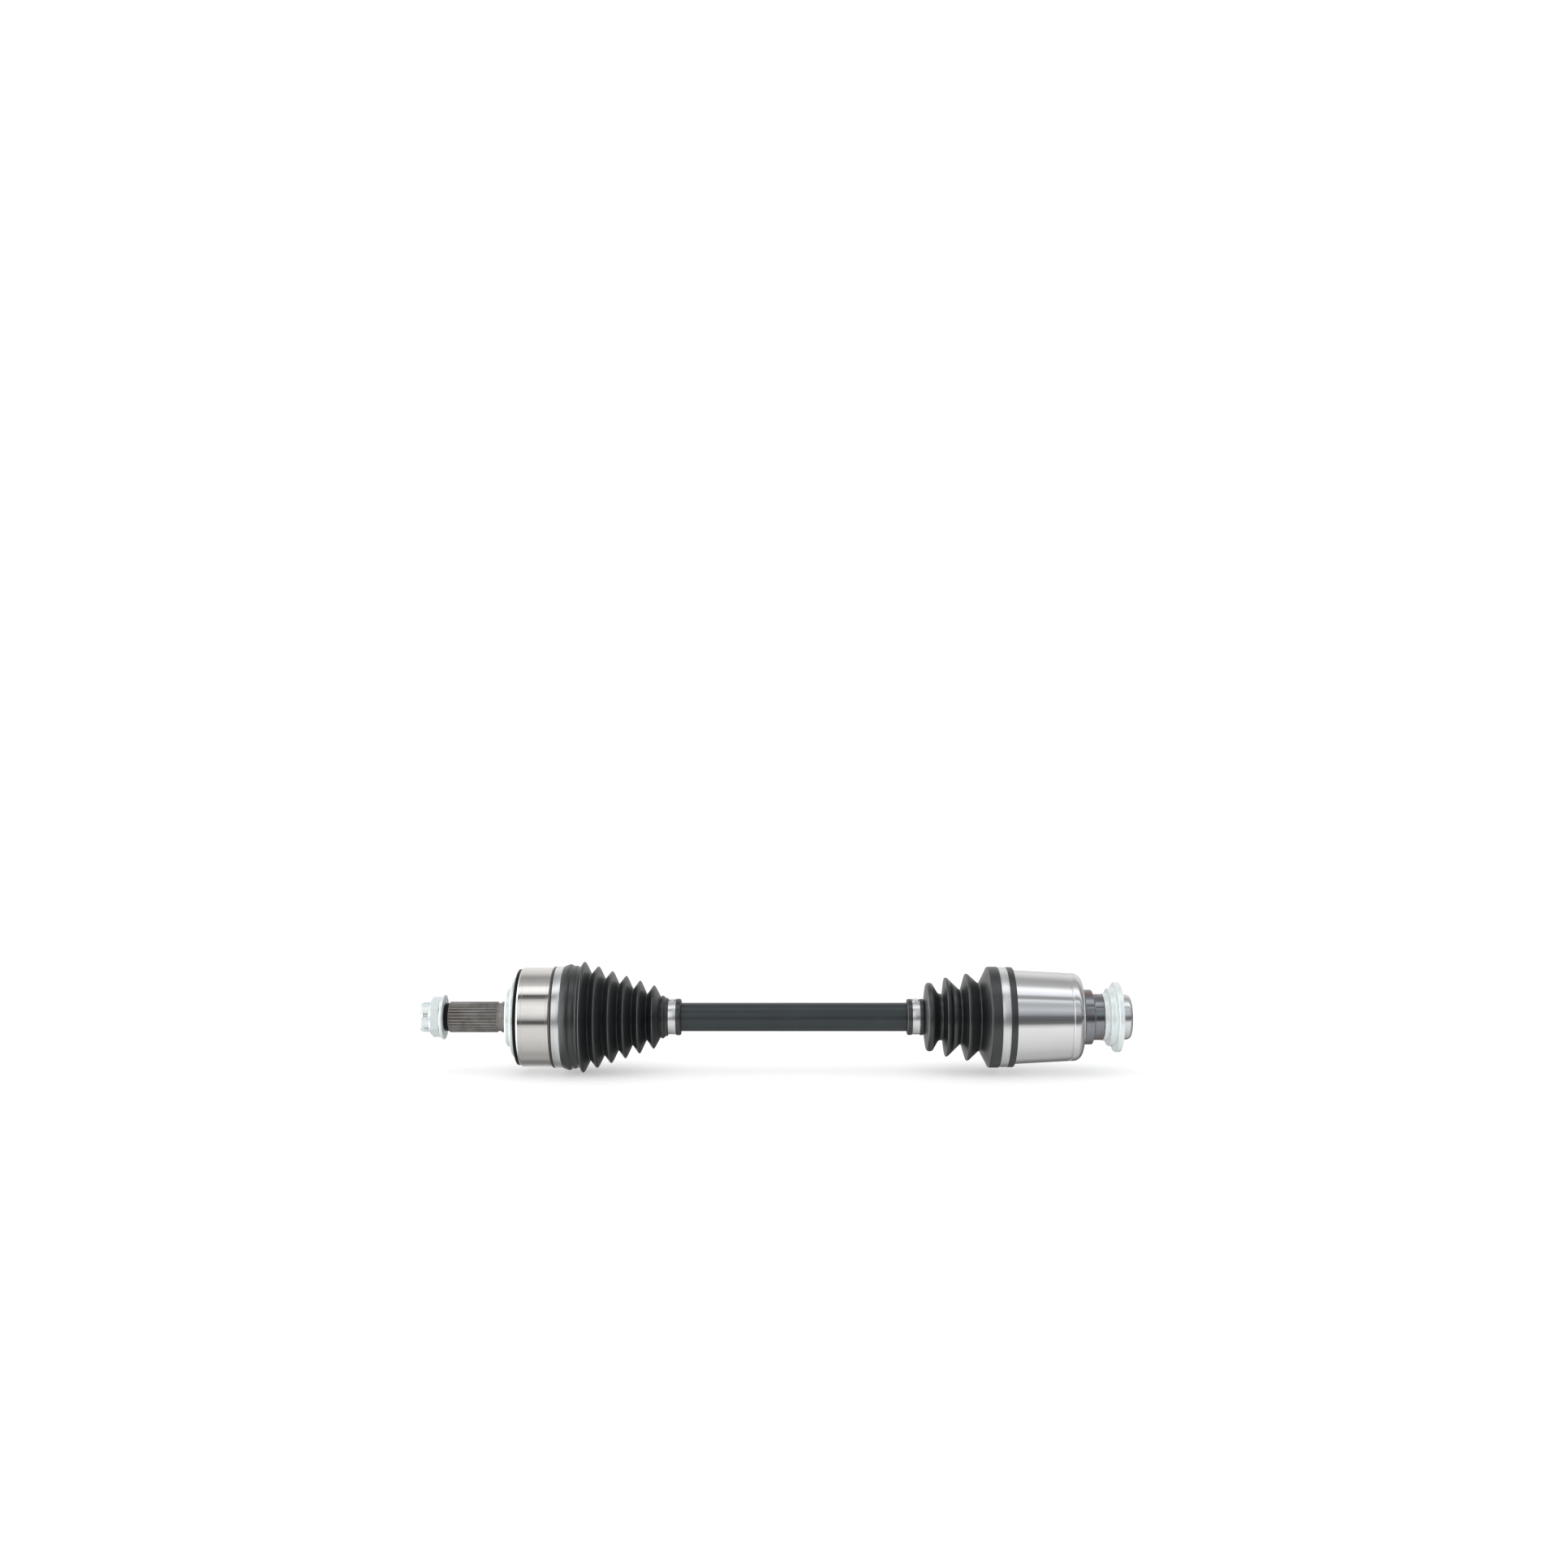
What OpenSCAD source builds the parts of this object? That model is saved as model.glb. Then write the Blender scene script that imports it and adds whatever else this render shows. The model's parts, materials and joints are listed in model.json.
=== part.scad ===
// Front drive axle of a car: fixed ball joint at the wheel end, sliding tripod joint at the gearbox
// end, and a solid bar between them. The axle lies along X, with the wheel end towards -X.
// The origin is on the axis, in the plane of the shoulder that the wheel hub seats against.

/* [Wheel-end stub] */
// Outside diameter of the splined stub
stub_d = 28; // [27:0.5:29]
// Length of the stub's splined stretch
spline_l = 44; // [36:1:44]
// Number of teeth on the stub's spline
stub_teeth = 30; // [24:1:32]
// Outside diameter of the stub's thread
thread_d = 22; // [20:1:23]
// Distance across the flats of the hub nut
nut_flats = 32; // [30:1:34]
// Number of slots in the crown of the hub nut
nut_slots = 6; // [4:1:8]

/* [Ball joint] */
// Outside diameter of the ball joint's bell
bell_d = 90; // [89:0.5:92]
// Diameter of one ball
ball_d = 17; // [16:0.5:17]
// Diameter of the circle that the ball centres lie on
ball_circle_d = 58; // [57:0.5:58]
// Number of balls
ball_count = 6; // [6:1:6]

/* [Bar] */
// Distance between the centres of the two joints
joint_span = 433; // [425:1:460]
// Diameter of the bar
bar_d = 26; // [24:0.5:26]

/* [Tripod joint] */
// Outside diameter of the tripod housing at its mouth
housing_d = 85.5; // [85:0.5:88]
// Outside diameter of one roller
roller_d = 30.4; // [30:0.1:30.6]
// Diameter of the circle that the roller centres lie on
roller_circle_d = 47.5; // [47:0.5:48]
// Number of needles under each roller
needle_count = 22; // [16:1:22]
// Diameter of the gearbox-end socket at the roots of its spline
socket_d = 27; // [25:0.5:28]
// Number of teeth in the gearbox-end socket's spline
socket_teeth = 24; // [20:1:26]

/* [Boots] */
// Number of crests on the wheel-end boot
outer_crest_count = 6; // [5:1:6]
// Radius of the wheel-end boot's first crest, next to the bell
outer_crest_first = 50.5; // [49:0.5:52]
// Radius of the wheel-end boot's last crest, next to the bar
outer_crest_last = 29; // [28:0.5:30]
// Radius of the wheel-end boot's first valley
outer_valley_first = 43; // [41:0.2:43]
// Radius of the wheel-end boot's last valley
outer_valley_last = 21.4; // [20:0.2:23]
// Distance from one crest of the wheel-end boot to the next
outer_pitch = 12.8; // [12.4:0.1:13]
// Thickness of the boots' wall
boot_wall = 2.2; // [1.6:0.1:2.6]

/* [Hidden] */
$fn = 72;
// gap between pieces pressed onto each other
seat_gap = 0.02;
// radial clearance between pieces that run on each other
run_gap = 0.05;

// stub and nut, along X
stub_end = -78;
thread_chamfer = 1.5;
ring_groove_x = -9;
ring_groove_end_x = -5.3;
ring_groove_depth = 1;
shank_x = ring_groove_x - spline_l - 4.5;
spline_x = ring_groove_x - spline_l;
washer_t = 3.7;
washer_face_r = 18.6;
washer_r = 20.4;
hex_h = 10.3;
crown_h = 8.2;
crown_r = 13.6;
crown_end_r = 12.2;
slot_w = 4.4;
shank_r = 12.8;
spline_depth = 0.9;
stub_tooth_gap = 0.7;
washer_x = shank_x - 0.1 - washer_t;
hex_x = washer_x - hex_h;
crown_x = hex_x - crown_h;

// steps between the stub and the bell
shoulder_r = 27;
shoulder_w = 5;
shield_seat_r = 31;
shield_r = 36.5;
shield_end_x = 9.4;
backing_seat_r = 36;
backing_r = 42.4;
backing_w = 2.4;

// ball joint
bell_x = 12;
ball_joint_x = bell_x + 25;
bell_mouth_x = bell_x + 42.3;
cavity_floor = 31;
bell_seat_r = bell_d / 2 - 2.5;
ball_r = ball_d / 2;
ball_circle_r = ball_circle_d / 2;
track_r = ball_r + 2.1;
track_span = 50;
cage_r = 33;
cage_bore_r = 27.2;
cage_half_w = 12;
race_r = 26.9;
race_half_w = 13;
window_w = 19;
bar_spline_r = 12;
ring_seat_r = 10.7;
open_ring_r = 13.5;
open_ring_w = 1.6;
open_ring_gap = 5;

// tripod joint
tripod_x = ball_joint_x + joint_span;
mouth_x = tripod_x - 30;
cavity_end_x = tripod_x + 38;
housing_seat_r = housing_d / 2 - 0.75;
roller_r = roller_d / 2;
roller_w = 12.5;
roller_circle_r = roller_circle_d / 2;
roller_track_r = roller_r + 1.4;
track_reach = 34.5;
cavity_r = 21.3;
trunnion_r = 7.5;
trunnion_end = roller_circle_r + 7.8;
clip_x = roller_circle_r + 6.4;
clip_seat_depth = 0.8;
needle_r = 1;
roller_bore_r = trunnion_r + 2 * needle_r + 2 * run_gap;
needle_l = 11;
hub_r = 16.5;
hub_half_w = 12;
land_x = tripod_x + 44;
line_depth = 0.6;
neck_r = 25;
waist_r = 21;
inner_shield_seat_r = 20;
plug_r = 11;
socket_end_x = tripod_x + 100.5;
socket_depth = 36.5;
socket_tooth_gap = 0.8;

// boots and clamps
clamp_t = 0.9;
ear_l = 5;
ear_w = 8;
ear_h = 2.7;
small_seat_r = 15.1;
small_clamp_w = 7;
lip_r = 16.6;
lip_w = 4.5;
outer_clamp_w = 7.2;
inner_clamp_w = 7.6;
outer_collar_x = bell_x + 30.3;
outer_clamp_x = outer_collar_x + 2.4;
outer_ring_x = outer_clamp_x + outer_clamp_w + 0.1;
outer_crest_x = 70;
outer_lip_x = outer_crest_x + (outer_crest_count - 1) * outer_pitch + 20.5;
inner_lip_x = mouth_x - 74;
boot_split_x = mouth_x - 43;
collar_r = 46;

// turns a closed outline of [radius, x] points about the X axis
module turned(outline) {
    rotate([0, 90, 0])
        rotate_extrude()
            polygon(outline);
}

// a ring about the X axis
module ring(x, length, r_out, r_in) {
    turned([[r_in, x], [r_out, x], [r_out, x + length], [r_in, x + length]]);
}

// repeats its children around the X axis
module around_axis(count) {
    for (i = [0:count - 1])
        rotate([360 * i / count, 0, 0])
            children();
}

// one straight groove of a spline, from radius r_in to radius r_out
module spline_groove(x, length, r_in, r_out, width) {
    translate([x, -width / 2, r_in])
        cube([length, width, r_out - r_in]);
}

// the curved path of one ball, a part of a ring about the joint's centre
module ball_track() {
    rotate([-90, -90, 0])
        rotate_extrude(angle = 2 * track_span, start = -track_span)
            translate([ball_circle_r, 0])
                circle(r = track_r);
}

module stub_profile() {
    turned([
        [0, stub_end], [thread_d / 2 - thread_chamfer, stub_end],
        [thread_d / 2, stub_end + thread_chamfer],
        [thread_d / 2, shank_x], [shank_r, shank_x], [shank_r, spline_x - 0.6],
        [stub_d / 2, spline_x + 0.6], [stub_d / 2, ring_groove_x],
        [stub_d / 2 - ring_groove_depth, ring_groove_x + 0.4],
        [stub_d / 2 - ring_groove_depth, ring_groove_end_x - 0.4],
        [stub_d / 2, ring_groove_end_x], [stub_d / 2, 0], [shoulder_r - 1, 0], [shoulder_r, 1],
        [shoulder_r, shoulder_w], [shield_seat_r, shoulder_w],
        [shield_seat_r, bell_x - backing_w - 0.1], [backing_seat_r, bell_x - backing_w - 0.1],
        [backing_seat_r, bell_x], [bell_d / 2 - 2, bell_x], [bell_d / 2, bell_x + 2],
        [bell_d / 2, outer_collar_x], [bell_seat_r, outer_collar_x],
        [bell_seat_r, bell_mouth_x], [0, bell_mouth_x]
    ]);
}

module outer_housing() {
    color("gainsboro")
        difference() {
            stub_profile();
            translate([ball_joint_x, 0, 0])
                intersection() {
                    sphere(r = cage_r + 0.3);
                    translate([-cavity_floor, -bell_d, -bell_d])
                        cube(2 * bell_d);
                }
            turned([
                [0, ball_joint_x + 3], [cage_r - 2, ball_joint_x + 3],
                [bell_seat_r - 2, bell_mouth_x + 1], [0, bell_mouth_x + 1]
            ]);
            translate([ball_joint_x, 0, 0])
                around_axis(ball_count)
                    ball_track();
            around_axis(stub_teeth)
                spline_groove(
                    spline_x - 1, spline_l + 2,
                    stub_d / 2 - spline_depth, stub_d / 2 + 1, stub_tooth_gap
                );
        }
}

module hub_nut() {
    color("lightcyan")
        difference() {
            union() {
                translate([hex_x, 0, 0])
                    rotate([0, 90, 0])
                        intersection() {
                            cylinder(h = hex_h, r = nut_flats / sqrt(3), $fn = 6);
                            cylinder(h = hex_h, r1 = nut_flats / 2 + 0.6, r2 = nut_flats / 2 + 8);
                        }
                turned([
                    [0, crown_x], [crown_end_r, crown_x], [crown_r, crown_x + 2.5],
                    [crown_r, hex_x + 1], [0, hex_x + 1]
                ]);
            }
            ring(crown_x - 1, crown_h + hex_h + 2, thread_d / 2 + run_gap, 0);
            around_axis(nut_slots)
                translate([crown_x - 1, -slot_w / 2, 0])
                    cube([crown_h, slot_w, crown_r + 1]);
        }
}

module nut_washer() {
    color("lightcyan")
        turned([
            [thread_d / 2 + run_gap, washer_x + 0.1], [washer_face_r, washer_x + 0.1],
            [washer_r, washer_x + 1.4], [washer_r, washer_x + washer_t],
            [thread_d / 2 + run_gap, washer_x + washer_t]
        ]);
}

module outer_dust_shield() {
    color("powderblue")
        turned([
            [shield_seat_r + seat_gap, shoulder_w + 0.1], [shield_r - 2, shoulder_w + 0.1],
            [shield_r, shoulder_w + 0.8], [shield_r, shield_end_x],
            [shield_seat_r + seat_gap, shield_end_x]
        ]);
}

module outer_backing_ring() {
    color("black")
        ring(bell_x - backing_w, backing_w - 0.1, backing_r, backing_seat_r + seat_gap);
}

// a flat band round a boot, with its crimped ear
module band_clamp(x, width, r_in, ear_angle) {
    ring(x, width, r_in + clamp_t, r_in);
    rotate([ear_angle, 0, 0])
        translate([x + (width - ear_l) / 2, -ear_w / 2, r_in + clamp_t / 2])
            difference() {
                cube([ear_l, ear_w, ear_h]);
                translate([-1, ear_w / 3, -1])
                    cube([ear_l + 2, ear_w / 3, ear_h - 0.1]);
            }
}

module outer_large_clamp() {
    color("silver")
        band_clamp(outer_clamp_x, outer_clamp_w, bell_d / 2 + 0.25, -75);
}

// a value that goes from first to last as t goes from 0 to 1
function between(first, last, t) = first + (last - first) * t;

// the wheel-end boot's crests
outer_crests = [
    for (i = [0:outer_crest_count - 1])
        let (t = i / (outer_crest_count - 1), x = outer_crest_x + i * outer_pitch)
            [between(outer_crest_first, outer_crest_last, pow(t, 1.1)), x]
];

// the valleys between them, each 0.55 of a pitch after its crest
outer_valleys = [
    for (i = [0:outer_crest_count - 2])
        let (t = i / (outer_crest_count - 2), x = outer_crest_x + (i + 0.55) * outer_pitch)
            [between(outer_valley_first, outer_valley_last, t), x]
];

// outline of a boot from its outer side, with the inner side a wall's thickness below
function shell(outline, wall, floor_r) = concat(
    outline,
    [for (i = [len(outline) - 1:-1:0]) [max(outline[i][0] - wall, floor_r), outline[i][1]]]
);

module outer_boot() {
    folds = shell(
        concat(
            [[bell_d / 2 + 0.8, outer_ring_x + 6]],
            [for (i = [0:outer_crest_count - 2]) each [outer_crests[i], outer_valleys[i]]],
            [
                outer_crests[outer_crest_count - 1],
                [19.5, outer_lip_x - 15.8], [17.6, outer_lip_x - 12],
                [16.8, outer_lip_x - small_clamp_w - 0.5]
            ]
        ),
        boot_wall, bar_d / 2 + 1
    );
    collar = [
        [bell_seat_r + seat_gap, outer_collar_x + 0.1], [bell_d / 2 + 1.2, outer_collar_x + 0.1],
        [bell_d / 2 + 1.2, outer_clamp_x - 0.1], [bell_d / 2 + 0.23, outer_clamp_x - 0.1],
        [bell_d / 2 + 0.23, outer_ring_x], [bell_d / 2 + 2, outer_ring_x],
        [bell_d / 2 + 3, outer_ring_x + 4], [bell_d / 2 + 1.5, outer_ring_x + 8.4],
        [bell_seat_r + seat_gap, outer_ring_x + 8.4]
    ];
    color("dimgray")
        difference() {
            union() {
                turned(folds);
                turned(collar);
                ring(
                    outer_lip_x - small_clamp_w - 3.2, small_clamp_w + 3.4,
                    small_seat_r - seat_gap, bar_d / 2 + seat_gap
                );
                ring(outer_lip_x, lip_w, lip_r, bar_d / 2 + seat_gap);
            }
            ring(outer_collar_x, joint_span, bar_d / 2 + seat_gap, 0);
        }
}

module outer_small_clamp() {
    color("silver")
        band_clamp(outer_lip_x - small_clamp_w - 0.1, small_clamp_w, small_seat_r, -60);
}

module ball_cage() {
    color("slategray")
        translate([ball_joint_x, 0, 0])
            difference() {
                intersection() {
                    sphere(r = cage_r);
                    ring(-cage_half_w, 2 * cage_half_w, cage_r + 1, 0);
                }
                sphere(r = cage_bore_r);
                around_axis(ball_count)
                    translate([-ball_r - 0.1, -window_w / 2, cage_bore_r - 8])
                        cube([ball_d + 0.2, window_w, ball_d]);
            }
}

module balls() {
    color("whitesmoke")
        translate([ball_joint_x, 0, 0])
            around_axis(ball_count)
                translate([0, 0, ball_circle_r])
                    sphere(r = ball_r);
}

module inner_race() {
    color("lightsteelblue")
        translate([ball_joint_x, 0, 0])
            difference() {
                intersection() {
                    sphere(r = race_r);
                    ring(-race_half_w, 2 * race_half_w, race_r + 1, 0);
                }
                ring(-race_half_w - 1, 2 * race_half_w + 2, bar_spline_r + seat_gap, 0);
                around_axis(ball_count)
                    ball_track();
            }
}

// an open ring in a groove of the bar, from x on
module bar_ring(x) {
    difference() {
        ring(x, open_ring_w, open_ring_r, ring_seat_r + 0.1);
        translate([x - 1, -open_ring_gap / 2, 0])
            cube([open_ring_w + 2, open_ring_gap, open_ring_r + 1]);
    }
}

module race_circlip() {
    color("dimgray")
        bar_ring(ball_joint_x - race_half_w - 1.9);
}

module axle_bar() {
    color("darkslategray")
        turned([
            [0, ball_joint_x - 17], [bar_spline_r - 1, ball_joint_x - 17],
            [bar_spline_r, ball_joint_x - 16],
            [bar_spline_r, ball_joint_x - 15.1], [ring_seat_r, ball_joint_x - 15.1],
            [ring_seat_r, ball_joint_x - 13], [bar_spline_r, ball_joint_x - 13],
            [bar_spline_r, ball_joint_x + 13.1], [bar_d / 2, ball_joint_x + 14.1],
            [bar_d / 2, tripod_x - 50], [bar_spline_r, tripod_x - 46],
            [bar_spline_r, tripod_x - hub_half_w - 2], [ring_seat_r, tripod_x - hub_half_w - 2],
            [ring_seat_r, tripod_x - hub_half_w], [bar_spline_r, tripod_x - hub_half_w],
            [bar_spline_r, tripod_x + hub_half_w], [ring_seat_r, tripod_x + hub_half_w],
            [ring_seat_r, tripod_x + hub_half_w + 2], [bar_spline_r, tripod_x + hub_half_w + 2],
            [bar_spline_r, tripod_x + 15], [bar_spline_r - 1, tripod_x + 16], [0, tripod_x + 16]
        ]);
}

module inner_small_clamp() {
    color("silver")
        band_clamp(inner_lip_x + lip_w + 0.1, small_clamp_w, small_seat_r, -60);
}

module inner_boot_front() {
    color("dimgray")
        union() {
            ring(inner_lip_x, lip_w, lip_r, bar_d / 2 + seat_gap);
            ring(
                inner_lip_x + lip_w - 0.1, small_clamp_w + 0.6,
                small_seat_r - seat_gap, bar_d / 2 + seat_gap
            );
            turned(shell(
                [
                    [16.6, inner_lip_x + lip_w + small_clamp_w + 0.2], [17.4, boot_split_x - 16],
                    [31.2, boot_split_x - 12], [31.2, boot_split_x - 7.5],
                    [21.5, boot_split_x - 1.5], [21.5, boot_split_x - 0.2]
                ],
                boot_wall, bar_d / 2 + 1
            ));
        }
}

module inner_boot_rear() {
    color("dimgray")
        union() {
            turned(shell(
                [
                    [21.5, boot_split_x + 0.2], [21.5, boot_split_x + 1.5],
                    [36, boot_split_x + 4], [35.4, boot_split_x + 6.5],
                    [25.6, boot_split_x + 17.5], [38.8, boot_split_x + 22.5],
                    [38.4, boot_split_x + 25.5], [30.6, boot_split_x + 35],
                    [collar_r - 0.4, mouth_x]
                ],
                boot_wall, bar_d / 2 + 1
            ));
            ring(mouth_x - 0.9, 9.8, collar_r, housing_d / 2 + 0.3);
            ring(mouth_x + 0.1, 22.8, housing_d / 2 + 1.6, housing_seat_r + 0.3);
            ring(mouth_x + 17.1, 5.8, collar_r - 0.5, housing_seat_r + 0.3);
        }
}

module inner_large_clamp() {
    color("silver")
        band_clamp(mouth_x + 9.2, inner_clamp_w, housing_d / 2 + 1.9, -75);
}

// one of the three lengthwise tracks that the rollers run in
module roller_track() {
    intersection() {
        translate([mouth_x - 1, 0, roller_circle_r])
            rotate([0, 90, 0])
                cylinder(h = cavity_end_x - mouth_x + 1, r = roller_track_r);
        translate([mouth_x - 2, -2 * roller_r, 0])
            cube([2 * housing_d, 4 * roller_r, track_reach]);
    }
}

module tripod_housing() {
    color("gainsboro")
        difference() {
            turned([
                [0, mouth_x], [housing_seat_r, mouth_x], [housing_seat_r, mouth_x + 23],
                [housing_d / 2, mouth_x + 23], [housing_d / 2 - 2.7, land_x - 0.3],
                [housing_d / 2 - 2.7 - line_depth, land_x - 0.3],
                [housing_d / 2 - 2.7 - line_depth, land_x + 0.3],
                [housing_d / 2 - 2.7, land_x + 0.3], [housing_d / 2 - 2.9, land_x + 7],
                [housing_d / 2 - 6.5, land_x + 11], [neck_r + 0.5, land_x + 12],
                [neck_r, land_x + 14], [neck_r, land_x + 21.7], [waist_r, land_x + 22.5],
                [waist_r, land_x + 30.6], [inner_shield_seat_r, land_x + 31],
                [inner_shield_seat_r, land_x + 46.8], [inner_shield_seat_r + 0.5, land_x + 46.8],
                [inner_shield_seat_r + 0.5, socket_end_x - 1.8],
                [inner_shield_seat_r - 1, socket_end_x], [0, socket_end_x]
            ]);
            ring(mouth_x - 1, cavity_end_x - mouth_x + 1, cavity_r, 0);
            turned([
                [0, mouth_x - 1], [cavity_r + 9.6, mouth_x - 1],
                [cavity_r - 1.6, mouth_x + 27], [0, mouth_x + 27]
            ]);
            for (i = [0:2])
                rotate([120 * i, 0, 0])
                    roller_track();
            ring(cavity_end_x - 1, socket_depth, plug_r, 0);
            ring(socket_end_x - socket_depth, socket_depth + 1, socket_d / 2, 0);
            turned([
                [0, socket_end_x - 2], [socket_d / 2 - 0.8, socket_end_x - 2],
                [socket_d / 2 + 1.7, socket_end_x + 0.5], [0, socket_end_x + 0.5]
            ]);
            rotate([180 / socket_teeth, 0, 0])
                around_axis(socket_teeth)
                    spline_groove(
                        socket_end_x - socket_depth + 3, socket_depth,
                        socket_d / 2 - 1, socket_d / 2 + 0.9, socket_tooth_gap
                    );
        }
}

module spider() {
    color("slategray")
        translate([tripod_x, 0, 0])
            difference() {
                union() {
                    ring(-hub_half_w, 2 * hub_half_w, hub_r, 0);
                    for (i = [0:2])
                        rotate([120 * i, 0, 0])
                            difference() {
                                cylinder(h = trunnion_end, r = trunnion_r);
                                translate([0, 0, clip_x])
                                    difference() {
                                        cylinder(h = 0.9, r = trunnion_r + 1);
                                        cylinder(h = 0.9, r = trunnion_r - clip_seat_depth);
                                    }
                            }
                }
                ring(-hub_half_w - 1, 2 * hub_half_w + 2, bar_spline_r + seat_gap, 0);
            }
}

module spider_stop_ring() {
    color("dimgray")
        bar_ring(tripod_x - hub_half_w - 1.8);
}

module spider_circlip() {
    color("dimgray")
        bar_ring(tripod_x + hub_half_w + 0.2);
}

// one roller, on the trunnion at angle a about the X axis
module roller(a) {
    color("silver")
        translate([tripod_x, 0, 0])
            rotate([a, 0, 0])
                translate([0, 0, roller_circle_r])
                    difference() {
                        intersection() {
                            sphere(r = roller_r);
                            translate([0, 0, -roller_w / 2])
                                cylinder(h = roller_w, r = roller_r + 1);
                        }
                        translate([0, 0, -roller_w])
                            cylinder(h = 2 * roller_w, r = roller_bore_r);
                    }
}

// the needles between one roller and its trunnion
module needles(a) {
    color("whitesmoke")
        translate([tripod_x, 0, 0])
            rotate([a, 0, 0])
                for (i = [0:needle_count - 1])
                    rotate([0, 0, 360 * i / needle_count])
                        translate([trunnion_r + needle_r + run_gap, 0, roller_circle_r - needle_l / 2])
                            cylinder(h = needle_l, r = needle_r, $fn = 24);
}

module roller_1() {
    roller(0);
}

module roller_2() {
    roller(120);
}

module roller_3() {
    roller(240);
}

module needles_1() {
    needles(0);
}

module needles_2() {
    needles(120);
}

module needles_3() {
    needles(240);
}

module roller_clips() {
    color("dimgray")
        translate([tripod_x, 0, 0])
            for (i = [0:2])
                rotate([120 * i, 0, 0])
                    translate([0, 0, clip_x + 0.1])
                        difference() {
                            cylinder(h = 0.7, r = trunnion_r + 1.5);
                            translate([0, 0, -1])
                                cylinder(h = 3, r = trunnion_r - clip_seat_depth + 0.05);
                            translate([0, -2, -1])
                                cube([roller_r, 4, 3]);
                        }
}

module inner_dust_shield() {
    color("powderblue")
        turned([
            [inner_shield_seat_r + seat_gap, land_x + 31.1], [21.6, land_x + 31.1],
            [21.8, land_x + 35], [26.5, land_x + 35.6], [26.5, land_x + 40.4],
            [32, land_x + 41.6], [32, land_x + 46.7], [30.4, land_x + 46.7],
            [30.4, land_x + 43.2], [25, land_x + 42], [inner_shield_seat_r + seat_gap, land_x + 42]
        ]);
}

module grease_plug() {
    color("dimgray")
        ring(cavity_end_x + 10, 5, plug_r - seat_gap, 0);
}

outer_housing();
hub_nut();
nut_washer();
outer_dust_shield();
outer_backing_ring();
outer_large_clamp();
outer_boot();
outer_small_clamp();
ball_cage();
balls();
inner_race();
race_circlip();
axle_bar();
inner_small_clamp();
inner_boot_front();
inner_boot_rear();
inner_large_clamp();
tripod_housing();
spider();
spider_stop_ring();
spider_circlip();
roller_1();
roller_2();
roller_3();
needles_1();
needles_2();
needles_3();
roller_clips();
inner_dust_shield();
grease_plug();
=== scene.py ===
"""Front drive axle: a ball joint at the wheel end, a solid bar and a sliding tripod joint.

The axle lies along X with its wheel end towards -X. Outlines are written in millimetres as
(x, radius, rounding) points and turned about the X axis. An angle about that axis is measured
from straight up towards the front, which is -Y.
"""

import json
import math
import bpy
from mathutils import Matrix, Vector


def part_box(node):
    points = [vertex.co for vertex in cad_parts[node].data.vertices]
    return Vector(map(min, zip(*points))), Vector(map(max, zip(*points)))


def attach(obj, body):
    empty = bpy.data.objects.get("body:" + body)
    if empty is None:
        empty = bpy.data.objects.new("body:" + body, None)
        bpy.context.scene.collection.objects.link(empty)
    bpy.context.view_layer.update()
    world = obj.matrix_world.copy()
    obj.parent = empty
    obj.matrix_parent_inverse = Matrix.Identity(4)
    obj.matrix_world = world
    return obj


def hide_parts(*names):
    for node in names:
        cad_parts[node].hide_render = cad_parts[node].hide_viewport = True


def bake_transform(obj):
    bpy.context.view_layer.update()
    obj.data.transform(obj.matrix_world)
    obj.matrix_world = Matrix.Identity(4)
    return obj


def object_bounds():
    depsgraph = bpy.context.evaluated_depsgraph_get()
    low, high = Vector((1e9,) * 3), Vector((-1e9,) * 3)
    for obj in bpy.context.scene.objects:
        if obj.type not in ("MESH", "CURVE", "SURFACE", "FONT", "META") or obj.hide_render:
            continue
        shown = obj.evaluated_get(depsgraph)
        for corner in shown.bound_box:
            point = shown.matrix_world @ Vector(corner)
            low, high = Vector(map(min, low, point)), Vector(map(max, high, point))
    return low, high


bl_info = {
    "name": "Drive Axle",
    "version": (1, 0, 0),
    "blender": (4, 5, 0),
    "location": "3D Viewport > Sidebar > Axle",
    "description": "Makes the visible pieces, finishes and stage of a front drive axle",
    "category": "Add Mesh",
}

import bmesh
import bpy
import numpy as np
from bpy.props import FloatProperty, FloatVectorProperty, IntProperty, PointerProperty
from mathutils import Vector

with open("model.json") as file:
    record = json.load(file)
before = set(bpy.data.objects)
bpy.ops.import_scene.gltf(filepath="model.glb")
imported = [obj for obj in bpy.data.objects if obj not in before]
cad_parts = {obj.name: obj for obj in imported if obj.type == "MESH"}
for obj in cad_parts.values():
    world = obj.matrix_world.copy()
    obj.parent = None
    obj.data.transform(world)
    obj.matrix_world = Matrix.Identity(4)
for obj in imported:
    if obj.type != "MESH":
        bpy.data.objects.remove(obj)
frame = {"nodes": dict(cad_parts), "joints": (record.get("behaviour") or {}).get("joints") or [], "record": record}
CAD_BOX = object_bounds()
MM = 0.001
TAU = 2 * math.pi


# ---------------------------------------------------------------- the frame, in millimetres


def first_x(node):
    """Where a CAD node begins along the axle."""
    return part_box(node)[0][0] / MM


def last_x(node):
    """Where a CAD node ends along the axle."""
    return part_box(node)[1][0] / MM


def radius_of(node):
    """Half the height of a CAD node that is centred on the axle."""
    low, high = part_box(node)
    return (high[2] - low[2]) / 2 / MM


def joint_x(name):
    """Where a joint's centre lies along the axle."""
    return next(j["pos_m"][0] for j in frame["joints"] if j["name"] == name) / MM


def mount(name):
    """A mount's place along the axle, its radius and its length."""
    found = next(m for m in frame["record"]["mounts"] if m["name"] == name)
    return found["pos_m"][0] / MM, found["dims"]["r_mm"], found["dims"]["length_mm"]


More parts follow.
